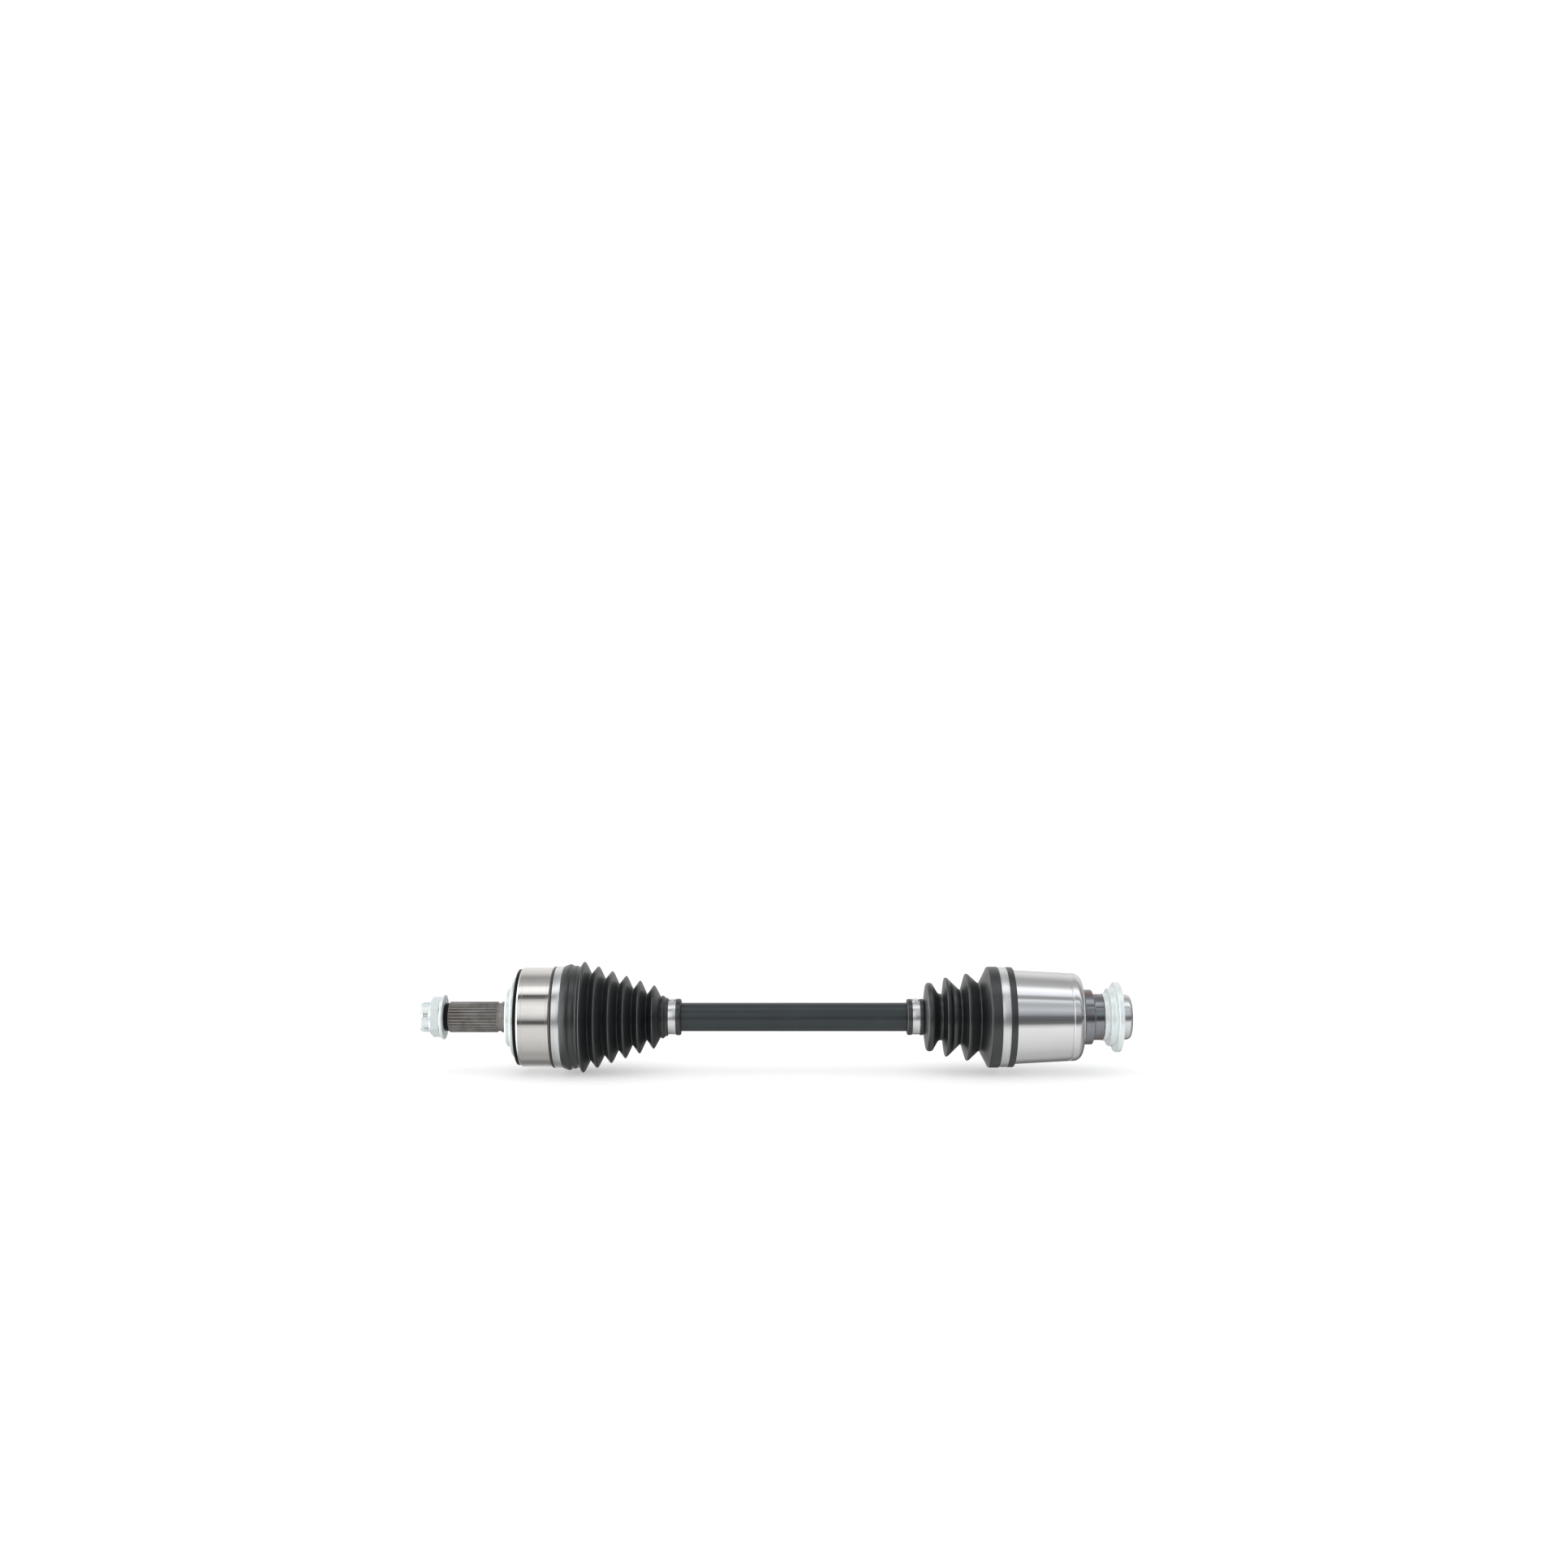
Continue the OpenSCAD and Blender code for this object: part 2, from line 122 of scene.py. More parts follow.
BALL_JOINT_X = joint_x("outer_bend_y")
TRIPOD_X = joint_x("inner_bend_y")
MOUTH_X = first_x("tripod_housing")
SPLINE_END, SPLINE_R, SPLINE_L = mount("hub_spline")
SOCKET_X, SOCKET_R, SOCKET_L = mount("gearbox_socket")
BAR_R = radius_of("axle_bar")
BELL_R = radius_of("outer_housing")
BORE_R = BAR_R + 0.03
SMALL_SEAT_R = BAR_R + 2.08
NUT_BORE_R = 11.05
SHIELD_SEAT_R = 31.0
RING_SEAT_R = 36.0
CAVITY_DEPTH = 31.0
LARGE_EAR, SMALL_EAR = -75, -60


# ---------------------------------------------------------------- settings


def length_property(name, description, length, low, high):
    """A length that a user may change."""
    return FloatProperty(
        name=name, description=description, default=length,
        min=low, max=high, unit="LENGTH", subtype="DISTANCE",
    )


def colour_property(name, description, colour):
    """A colour that a user may change."""
    return FloatVectorProperty(
        name=name, description=description, default=colour,
        subtype="COLOR", size=3, min=0.0, max=1.0,
    )


class AxleSizes(bpy.types.PropertyGroup):
    """Sizes that the frame does not give."""

    thread_pitch: length_property("Thread pitch", "Travel of the hub nut in one turn", 0.0015, 0.001, 0.002)
    thread_depth: length_property("Thread depth", "Depth of the stub's thread", 0.0009, 0.0002, 0.0012)
    spline_depth: length_property("Spline depth", "Height of one spline tooth", 0.0009, 0.0004, 0.0014)
    boot_wall: length_property("Boot wall", "Thickness of the rubber boots", 0.0022, 0.001, 0.003)
    band_thickness: length_property("Band thickness", "Thickness of the clamp bands", 0.0008, 0.0004, 0.001)
    stub_teeth: IntProperty(
        name="Stub teeth", description="Number of teeth on the wheel-end spline",
        default=30, min=20, max=36,
    )
    socket_teeth: IntProperty(
        name="Socket teeth", description="Number of teeth in the gearbox-end socket",
        default=24, min=18, max=30,
    )
    nut_slots: IntProperty(
        name="Nut slots", description="Number of slots in the crown of the hub nut",
        default=6, min=4, max=8,
    )
    segments: IntProperty(
        name="Segments", description="Number of faces round a turned piece",
        default=192, min=48, max=256,
    )


class AxleFinishes(bpy.types.PropertyGroup):
    """Base colours of the finishes."""

    bell_steel: colour_property("Bell steel", "Turned steel of the bell", (0.80, 0.785, 0.76))
    housing_steel: colour_property("Housing steel", "Polished steel of the housing", (0.84, 0.84, 0.85))
    stub_steel: colour_property("Stub steel", "Oiled steel of the splined stub", (0.31, 0.30, 0.29))
    forged_steel: colour_property("Forged steel", "Dark forged neck of the housing", (0.30, 0.31, 0.34))
    zinc: colour_property("Zinc plate", "Pale blue zinc plate", (0.79, 0.86, 0.87))
    band: colour_property("Clamp band", "Rolled stainless band", (0.88, 0.89, 0.90))
    rubber: colour_property("Rubber", "Moulded rubber of the boots", (0.006, 0.009, 0.010))
    # This black coating also paints the stub's shank between washer and spline, as painted shade.
    paint: colour_property("Bar paint", "Satin black paint of the bar", (0.015, 0.022, 0.025))
    coating: colour_property("Ring coating", "Black coating of the backing ring", (0.004, 0.004, 0.005))
    hardened: colour_property("Hardened steel", "Ground and hardened inner parts", (0.42, 0.42, 0.44))
    bearing: colour_property("Bearing steel", "Polished balls, rollers and needles", (0.78, 0.78, 0.80))
    spring: colour_property("Spring steel", "Dark phosphated circlips", (0.10, 0.10, 0.105))


def sizes():
    """The sizes of this scene."""
    return bpy.context.scene.axle_sizes


def finishes():
    """The finishes of this scene."""
    return bpy.context.scene.axle_finishes


# ---------------------------------------------------------------- turned shapes


def fillet(outline, steps=4):
    """Rounds an outline's corners. Each point is (x, radius) or (x, radius, rounding)."""
    rounded = []
    for i, (x, r, *cut) in enumerate(outline):
        corner = Vector((x, r))
        before = Vector(outline[i - 1][:2]) - corner
        after = Vector(outline[(i + 1) % len(outline)][:2]) - corner
        if not cut or cut[0] <= 0 or before.length == 0 or after.length == 0:
            rounded.append((x, r))
            continue
        reach = min(cut[0], 0.48 * before.length, 0.48 * after.length)
        start = corner + before.normalized() * reach
        end = corner + after.normalized() * reach
        for step in range(steps + 1):
            t = step / steps
            point = start * (1 - t) ** 2 + corner * 2 * t * (1 - t) + end * t**2
            rounded.append((point.x, point.y))
    return rounded


def around(count):
    """Evenly spaced angles round the axle."""
    return np.arange(count) * TAU / count


def revolve(name, outline, angles=None, shape=None):
    """A closed mesh turned about the X axis. shape(x, r, a) may move the outline at each angle."""
    angles = around(sizes().segments) if angles is None else np.asarray(angles)
    points = np.array(outline, float)
    a = np.broadcast_to(angles[None, :], (len(points), len(angles)))
    x = np.broadcast_to(points[:, :1], a.shape).copy()
    r = np.broadcast_to(points[:, 1:2], a.shape).copy()
    if shape:
        x, r = shape(x, r, a)
    corners = np.stack([x, -r * np.sin(a), r * np.cos(a)], -1).reshape(-1, 3) * MM
    rows, columns = a.shape
    faces = []
    for i in range(rows):
        low, high = i * columns, (i + 1) % rows * columns
        for j in range(columns):
            k = (j + 1) % columns
            faces.append((low + j, low + k, high + k, high + j))
    mesh = bpy.data.meshes.new(name)
    mesh.from_pydata(corners.tolist(), [], faces)
    return tidy_mesh(name, mesh)


def placed(name, data):
    """A new object with this data, in the scene."""
    piece = bpy.data.objects.new(name, data)
    bpy.context.scene.collection.objects.link(piece)
    return piece


def tidy_mesh(name, mesh, crease=32):
    """Closes poles, turns the faces outward and puts the mesh into the scene as an object."""
    work = bmesh.new()
    work.from_mesh(mesh)
    bmesh.ops.remove_doubles(work, verts=work.verts, dist=2e-6)
    bmesh.ops.dissolve_degenerate(work, edges=work.edges, dist=1e-6)
    bmesh.ops.recalc_face_normals(work, faces=work.faces)
    work.to_mesh(mesh)
    work.free()
    mesh.shade_smooth()
    mesh.set_sharp_from_angle(angle=math.radians(crease))
    return placed(name, mesh)


def join(name, pieces):
    """Joins pieces into one object."""
    work = bmesh.new()
    for piece in pieces:
        work.from_mesh(piece.data)
    mesh = bpy.data.meshes.new(name)
    work.to_mesh(mesh)
    work.free()
    for piece in pieces:
        bpy.data.objects.remove(piece)
    return placed(name, mesh)


def paint_by_x(piece, materials, borders):
    """Gives each stretch of a piece its own material. borders are the x values between them."""
    for material in materials:
        piece.data.materials.append(material)
    centres = np.array([face.center.x / MM for face in piece.data.polygons])
    indices = np.searchsorted(np.array(borders, float), centres)
    piece.data.polygons.foreach_set("material_index", indices.astype(np.int32))
    piece.data.update()


def settle(piece, body, slot, *nodes):
    """Rides a finished piece on its body, in place of CAD nodes; slot is not used."""
    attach(piece, body)
    if nodes:
        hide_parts(*nodes)
    return piece


def thread_height(x, a, pitch):
    """Height of a right-hand thread, 0 at its root and 1 at its crest."""
    phase = np.mod(x / pitch - a / TAU, 1.0)
    ridge = 1 - np.abs(2 * phase - 1)
    return np.clip(1.5 * ridge - 0.2, 0, 1)


def thread_rings(start, end, pitch, radius, per_turn=8):
    """Outline points close enough to carry a thread."""
    count = max(2, int(abs(end - start) / pitch * per_turn))
    return [(start + (end - start) * i / count, radius) for i in range(count + 1)]


# ---------------------------------------------------------------- shared shader groups


def group_socket(tree, name, kind, into, default=None):
    """Adds a named input or output to a node group."""
    socket = tree.interface.new_socket(name=name, in_out="INPUT" if into else "OUTPUT", socket_type=kind)
    if default is not None:
        socket.default_value = default
    return socket


def shader_group(name, inputs, outputs):
    """An empty shader node group with its sockets. Returns the tree, its input and its output."""
    tree = bpy.data.node_groups.new(name, "ShaderNodeTree")
    for label, value in inputs.items():
        group_socket(tree, label, "NodeSocketFloat", True, value)
    for label in outputs:
        group_socket(tree, label, "NodeSocketFloat", False)
    return tree, tree.nodes.new("NodeGroupInput"), tree.nodes.new("NodeGroupOutput")


def math_node(tree, operation, *values, clamp=False):
    """A math node with values or sockets on its inputs. Returns its result."""
    node = tree.nodes.new("ShaderNodeMath")
    node.operation = operation
    node.use_clamp = clamp
    for socket, value in zip(node.inputs, values):
        feed(tree, value, socket)
    return node.outputs[0]


def feed(tree, value, socket):
    """Links an output to a socket, or sets the socket to a plain value."""
    if isinstance(value, bpy.types.NodeSocket):
        tree.links.new(value, socket)
    else:
        socket.default_value = value


def add_node(tree, kind, **values):
    """A node with values or sockets on the inputs that are named. Returns its first output."""
    node = tree.nodes.new(kind)
    for label, value in values.items():
        feed(tree, value, node.inputs[label.replace("_", " ").title()])
    return node.outputs[0]


def split_vector(tree, vector):
    """The three parts of a vector."""
    return add_node(tree, "ShaderNodeSeparateXYZ", vector=vector).node.outputs


def joined_vector(tree, x=0.0, y=0.0, z=0.0):
    """A vector from its three parts."""
    return add_node(tree, "ShaderNodeCombineXYZ", x=x, y=y, z=z)


def noise(tree, vector, scale, detail=3.0, rough=0.55):
    """A noise texture's value."""
    return add_node(
        tree, "ShaderNodeTexNoise", vector=vector, scale=scale, detail=detail, roughness=rough
    )


def object_place(tree):
    """A point's place in the row frame."""
    return tree.nodes.new("ShaderNodeTexCoord").outputs["Object"]


def stretched(tree, vector, along, across):
    """A place stretched by separate amounts along and across the axle."""
    parts = zip(split_vector(tree, vector), (along, across, across))
    return joined_vector(tree, *(math_node(tree, "MULTIPLY", part, amount) for part, amount in parts))


def turning_marks_group():
    """Fine rings left by a lathe tool: close along the axle and long around it."""
    tree, given, result = shader_group("Turning Marks", {"Fineness": 2200.0}, ["Marks", "Rings"])
    place = object_place(tree)
    fine = noise(tree, stretched(tree, place, given.outputs[0], 18.0), 1.0, 2.0, 0.6)
    broad = noise(tree, stretched(tree, place, math_node(tree, "MULTIPLY", given.outputs[0], 0.12), 5.0), 1.0)
    feed(tree, math_node(tree, "SUBTRACT", fine, 0.5), result.inputs["Marks"])
    feed(tree, broad, result.inputs["Rings"])
    return tree


def mottling_group():
    """Soft blotches at a large and a small scale, as on handled or plated metal."""
    tree, given, result = shader_group(
        "Mottling", {"Large Scale": 45.0, "Small Scale": 420.0}, ["Blotches", "Specks", "Scuffs"]
    )
    place = object_place(tree)
    feed(tree, noise(tree, place, given.outputs[0], 4.0), result.inputs["Blotches"])
    feed(tree, noise(tree, place, given.outputs[1], 3.0), result.inputs["Specks"])
    streaks = noise(tree, stretched(tree, place, 60.0, 900.0), 1.0, 2.0, 0.4)
    scuffs = math_node(tree, "MULTIPLY", math_node(tree, "SUBTRACT", streaks, 0.66), 6.0, clamp=True)
    feed(tree, scuffs, result.inputs["Scuffs"])
    return tree


def shared_group(name):
    """One of the shared shader groups, built the first time it is asked for."""
    makers = {"Turning Marks": turning_marks_group, "Mottling": mottling_group}
    return bpy.data.node_groups.get(name) or makers[name]()


def place_group(tree, name, **values):
    """Puts a shared group into a material with its own values. Returns its outputs."""
    node = tree.nodes.new("ShaderNodeGroup")
    node.node_tree = shared_group(name)
    for label, value in values.items():
        node.inputs[label.replace("_", " ").title()].default_value = value
    return node.outputs


# ---------------------------------------------------------------- materials


def blank_material(name):
    """A material with only its Principled shader. Returns material, tree and shader."""
    material = bpy.data.materials.new(name)
    material.use_nodes = True
    tree = material.node_tree
    shader = next(n for n in tree.nodes if n.type == "BSDF_PRINCIPLED")
    return material, tree, shader


def mixed_colour(tree, factor, low, high):
    """A colour between two, by a factor."""
    node = tree.nodes.new("ShaderNodeMix")
    node.data_type = "RGBA"
    feed(tree, factor, node.inputs["Factor"])
    feed(tree, low if isinstance(low, bpy.types.NodeSocket) else (*low, 1.0), node.inputs[6])
    feed(tree, high if isinstance(high, bpy.types.NodeSocket) else (*high, 1.0), node.inputs[7])
    return node.outputs[2]


def ranged(tree, value, low, high, to_low, to_high):
    """A value mapped from one range to another, and kept inside it."""
    node = tree.nodes.new("ShaderNodeMapRange")
    for socket, given in zip(node.inputs, (value, low, high, to_low, to_high)):
        feed(tree, given, socket)
    return node.outputs[0]


def bump(tree, shader, height, distance, strength=1.0):
    """Feeds a height into the shader's normal."""
    normal = add_node(tree, "ShaderNodeBump", strength=strength, distance=distance, height=height)
    tree.links.new(normal, shader.inputs["Normal"])


def dress(tree, shader, tone, rough):
    """Feeds a colour and a roughness into the shader."""
    tree.links.new(tone, shader.inputs["Base Color"])
    tree.links.new(rough, shader.inputs["Roughness"])


def shade(colour, amount):
    """A colour made lighter or darker."""
    return tuple(min(1.0, c * amount) for c in colour)


def turned_metal(name, colour, roughness, fineness=2200.0, marks=0.000004, dirt=0.10):
    """Turned steel: rings from the tool, handling marks and a little oil."""
    material, tree, shader = blank_material(name)
    shader.inputs["Metallic"].default_value = 1.0
    turned = place_group(tree, "Turning Marks", fineness=fineness)
    mottled = place_group(tree, "Mottling", large_scale=38.0, small_scale=300.0)
    clean = ranged(tree, mottled["Blotches"], 0.3, 0.7, 0.0, 1.0)
    tone = mixed_colour(tree, clean, shade(colour, 1 - dirt), colour)
    worn = ranged(tree, turned["Rings"], 0.35, 0.75, 0.0, 0.5)
    tone = mixed_colour(tree, worn, tone, shade(colour, 1 - dirt / 2))
    rough = math_node(tree, "MULTIPLY_ADD", turned["Marks"], roughness * 0.9, roughness)
    rough = math_node(tree, "MULTIPLY_ADD", mottled["Scuffs"], 0.05, rough)
    rough = math_node(tree, "ADD", rough, ranged(tree, mottled["Blotches"], 0.3, 0.7, 0.02, -0.02))
    dress(tree, shader, tone, rough)
    bump(tree, shader, turned["Marks"], marks)
    return material


def zinc_plate(name, colour):
    """Bright zinc plate with a pale blue passivate and faint straw-coloured patches."""
    material, tree, shader = blank_material(name)
    shader.inputs["Metallic"].default_value = 0.35
    mottled = place_group(tree, "Mottling", large_scale=60.0, small_scale=700.0)
    straw = (colour[0] * 1.04, colour[1] * 0.99, colour[2] * 0.93)
    tone = mixed_colour(tree, ranged(tree, mottled["Blotches"], 0.42, 0.72, 0.0, 0.7), colour, straw)
    tone = mixed_colour(tree, ranged(tree, mottled["Specks"], 0.62, 0.8, 0.0, 0.25), tone, shade(colour, 0.8))
    dress(tree, shader, tone, ranged(tree, mottled["Blotches"], 0.3, 0.7, 0.24, 0.36))
    bump(tree, shader, mottled["Specks"], 0.00002, 0.6)
    return material


def oiled_steel(name, colour):
    """Dark oiled steel with brown stain, as on rolled splines."""
    material, tree, shader = blank_material(name)
    shader.inputs["Metallic"].default_value = 0.85
    mottled = place_group(tree, "Mottling", large_scale=90.0, small_scale=900.0)
    stain = (colour[0] * 0.62, colour[1] * 0.56, colour[2] * 0.50)
    tone = mixed_colour(tree, ranged(tree, mottled["Blotches"], 0.4, 0.66, 0.0, 0.8), colour, stain)
    tone = mixed_colour(tree, ranged(tree, mottled["Specks"], 0.55, 0.75, 0.0, 0.6), tone, shade(colour, 1.5))
    dress(tree, shader, tone, ranged(tree, mottled["Specks"], 0.3, 0.7, 0.34, 0.5))
    bump(tree, shader, mottled["Specks"], 0.00005, 0.7)
    return material


def browned_steel(name, colour):
    """Dark turned steel with a red-brown bloom of rust."""
    material, tree, shader = blank_material(name)
    shader.inputs["Metallic"].default_value = 1.0
    mottled = place_group(tree, "Mottling", large_scale=55.0, small_scale=620.0)
    turned = place_group(tree, "Turning Marks", fineness=1600.0)
    rust = ranged(tree, mottled["Blotches"], 0.52, 0.68, 0.0, 0.7)
    tone = mixed_colour(tree, rust, colour, (0.30, 0.19, 0.16))
    tone = mixed_colour(tree, ranged(tree, mottled["Specks"], 0.56, 0.74, 0.0, 0.6), tone, shade(colour, 0.4))
    dress(tree, shader, tone, ranged(tree, mottled["Blotches"], 0.45, 0.68, 0.10, 0.28))
    height = math_node(tree, "ADD", turned["Marks"], math_node(tree, "MULTIPLY", mottled["Specks"], 0.5))
    bump(tree, shader, height, 0.00001)
    return material


def moulded_rubber(name, colour):
    """Moulded rubber: satin, with a fine mould grain and a faint pale bloom."""
    material, tree, shader = blank_material(name)
    shader.inputs["Specular IOR Level"].default_value = 1.0
    mottled = place_group(tree, "Mottling", large_scale=28.0, small_scale=1500.0)
    bloom = ranged(tree, mottled["Blotches"], 0.42, 0.75, 0.0, 0.55)
    tone = mixed_colour(tree, bloom, colour, (0.014, 0.017, 0.019))
    scuffed = math_node(tree, "MULTIPLY", mottled["Scuffs"], 0.25)
    tone = mixed_colour(tree, scuffed, tone, (0.07, 0.07, 0.072))
    rough = ranged(tree, mottled["Blotches"], 0.3, 0.7, 0.24, 0.36)
    dress(tree, shader, tone, math_node(tree, "MULTIPLY_ADD", mottled["Specks"], 0.06, rough))
    bump(tree, shader, mottled["Specks"], 0.00003, 0.6)
    return material


def satin_paint(name, colour, peel=160.0, gloss=0.55):
    """Satin black paint with orange peel and light scuffs."""
    material, tree, shader = blank_material(name)
    shader.inputs["Specular IOR Level"].default_value = gloss
    mottled = place_group(tree, "Mottling", large_scale=32.0, small_scale=peel * 6)
    uneven = ranged(tree, mottled["Blotches"], 0.35, 0.7, 0.0, 1.0)
    tone = mixed_colour(tree, uneven, colour, shade(colour, 1.35))
    scuffed = math_node(tree, "MULTIPLY", mottled["Scuffs"], 0.35)
    tone = mixed_colour(tree, scuffed, tone, shade(colour, 4.0))
    rough = ranged(tree, mottled["Blotches"], 0.3, 0.7, 0.28, 0.38)
    dress(tree, shader, tone, math_node(tree, "MULTIPLY_ADD", mottled["Scuffs"], 0.2, rough))
    bump(tree, shader, noise(tree, object_place(tree), peel, 2.0), 0.00012, 0.5)
    return material


def rolled_band(name, colour):
    """Stainless band with rolling lines that run round it."""
    material, tree, shader = blank_material(name)
    shader.inputs["Metallic"].default_value = 1.0
    turned = place_group(tree, "Turning Marks", fineness=5200.0)
    mottled = place_group(tree, "Mottling", large_scale=80.0, small_scale=800.0)
    tone = mixed_colour(tree, ranged(tree, turned["Rings"], 0.35, 0.7, 0.0, 1.0), shade(colour, 0.86), colour)
    tone = mixed_colour(tree, math_node(tree, "MULTIPLY", mottled["Scuffs"], 0.4), tone, shade(colour, 0.6))
    dress(tree, shader, tone, math_node(tree, "MULTIPLY_ADD", turned["Marks"], 0.3, 0.27))
    bump(tree, shader, turned["Marks"], 0.000006)
    return material


def finish(name):
    """A named finish, made the first time it is asked for."""
    made = bpy.data.materials.get(name)
    if made:
        return made
    c = finishes()
    makers = {
        "bell steel": lambda: turned_metal(name, c.bell_steel, 0.10),
        "housing steel": lambda: turned_metal(name, c.housing_steel, 0.05, 3000.0, 0.000001, 0.05),
        "machined face": lambda: turned_metal(name, c.housing_steel, 0.20, 1800.0),
        "stub steel": lambda: oiled_steel(name, c.stub_steel),
        "forged steel": lambda: browned_steel(name, c.forged_steel),
        "zinc plate": lambda: zinc_plate(name, c.zinc),
        "clamp band": lambda: rolled_band(name, c.band),
        "rubber": lambda: moulded_rubber(name, c.rubber),
        "bar paint": lambda: satin_paint(name, c.paint),
        # Also used on the stub's shank as painted shade, a black stretch where the gap lies in shadow.
        "ring coating and painted shade": lambda: satin_paint(name, c.coating, 260.0, 0.15),
        "hardened steel": lambda: turned_metal(name, c.hardened, 0.28, 1500.0),
        "bearing steel": lambda: turned_metal(name, c.bearing, 0.10, 4000.0, 0.000001),
        "spring steel": lambda: oiled_steel(name, c.spring),
    }
    return makers[name]()


# ---------------------------------------------------------------- geometry node trees


def geometry_tree(name, inputs):
    """An empty geometry tree with named inputs of (socket kind, default)."""
    tree = bpy.data.node_groups.new(name, "GeometryNodeTree")
    for label, (kind, value) in inputs.items():
        group_socket(tree, label, kind, True, value)
    group_socket(tree, "Geometry", "NodeSocketGeometry", False)
    given = tree.nodes.new("NodeGroupInput")
    result = tree.nodes.new("NodeGroupOutput")
    return tree, {socket.name: socket for socket in given.outputs if socket.name}, result


def run_tree(name, tree, values, extra=None):
    """Runs a geometry tree on an empty mesh and returns the plain mesh that it makes."""
    carrier = placed(name, bpy.data.meshes.new(name))
    modifier = carrier.modifiers.new("Shape", "NODES")
    modifier.node_group = tree
    for item in tree.interface.items_tree:
        if item.in_out == "INPUT" and item.name in values:
            modifier[item.identifier] = values[item.name]
    if extra:
        extra(carrier)
    evaluated = carrier.evaluated_get(bpy.context.evaluated_depsgraph_get())
    mesh = bpy.data.meshes.new_from_object(evaluated)
    bpy.data.objects.remove(carrier)
    mesh.name = name
    return mesh


def finish_tree(tree, geometry, material, result):
    """Ends a tree in Realize Instances and Set Material."""
    real = add_node(tree, "GeometryNodeRealizeInstances", geometry=geometry)
    painted = add_node(tree, "GeometryNodeSetMaterial", geometry=real, material=material)
    tree.links.new(painted, result.inputs[0])


def spline_teeth_tree():
    """Straight teeth repeated round the axle, each narrower at its tip."""
    length = "NodeSocketFloat"
    tree, given, result = geometry_tree(
        "Spline Teeth",
        {
            "Count": ("NodeSocketInt", 30),
            "Start": (length, 0.0),
            "Length": (length, 0.042),
            "Root Radius": (length, 0.0131),
            "Tip Radius": (length, 0.014),
            "Root Width": (length, 0.002),
            "Tip Width": (length, 0.0012),
            "Material": ("NodeSocketMaterial", None),
        },
    )
    half_length = math_node(tree, "MULTIPLY", given["Length"], 0.5)
    height = math_node(tree, "SUBTRACT", given["Tip Radius"], given["Root Radius"])
    size = joined_vector(tree, given["Length"], given["Root Width"], math_node(tree, "ABSOLUTE", height))
    tooth = add_node(tree, "GeometryNodeMeshCube", size=size)
    parts = split_vector(tree, add_node(tree, "GeometryNodeInputPosition"))
    above = math_node(tree, "MULTIPLY", parts[2], math_node(tree, "SIGN", height))
    is_tip = math_node(tree, "GREATER_THAN", above, 0.0)
    taper = math_node(tree, "DIVIDE", given["Tip Width"], given["Root Width"])
    narrowing = math_node(tree, "MULTIPLY", parts[1], math_node(tree, "SUBTRACT", taper, 1.0))
    inward = joined_vector(tree, y=math_node(tree, "MULTIPLY", narrowing, is_tip))
    tapered = add_node(tree, "GeometryNodeSetPosition", geometry=tooth, offset=inward)
    middle = joined_vector(
        tree,
        x=math_node(tree, "ADD", given["Start"], half_length),
        z=math_node(tree, "MULTIPLY_ADD", height, 0.5, given["Root Radius"]),
    )
    moved = add_node(tree, "GeometryNodeTransform", geometry=tapered, translation=middle)
    points = add_node(tree, "GeometryNodePoints", count=given["Count"])
    step = math_node(tree, "DIVIDE", TAU, given["Count"])
    turn = math_node(tree, "MULTIPLY", add_node(tree, "GeometryNodeInputIndex"), step)
    copies = add_node(
        tree, "GeometryNodeInstanceOnPoints",
        points=points, instance=moved, rotation=joined_vector(tree, x=turn),
    )
    finish_tree(tree, copies, given["Material"], result)
    return tree


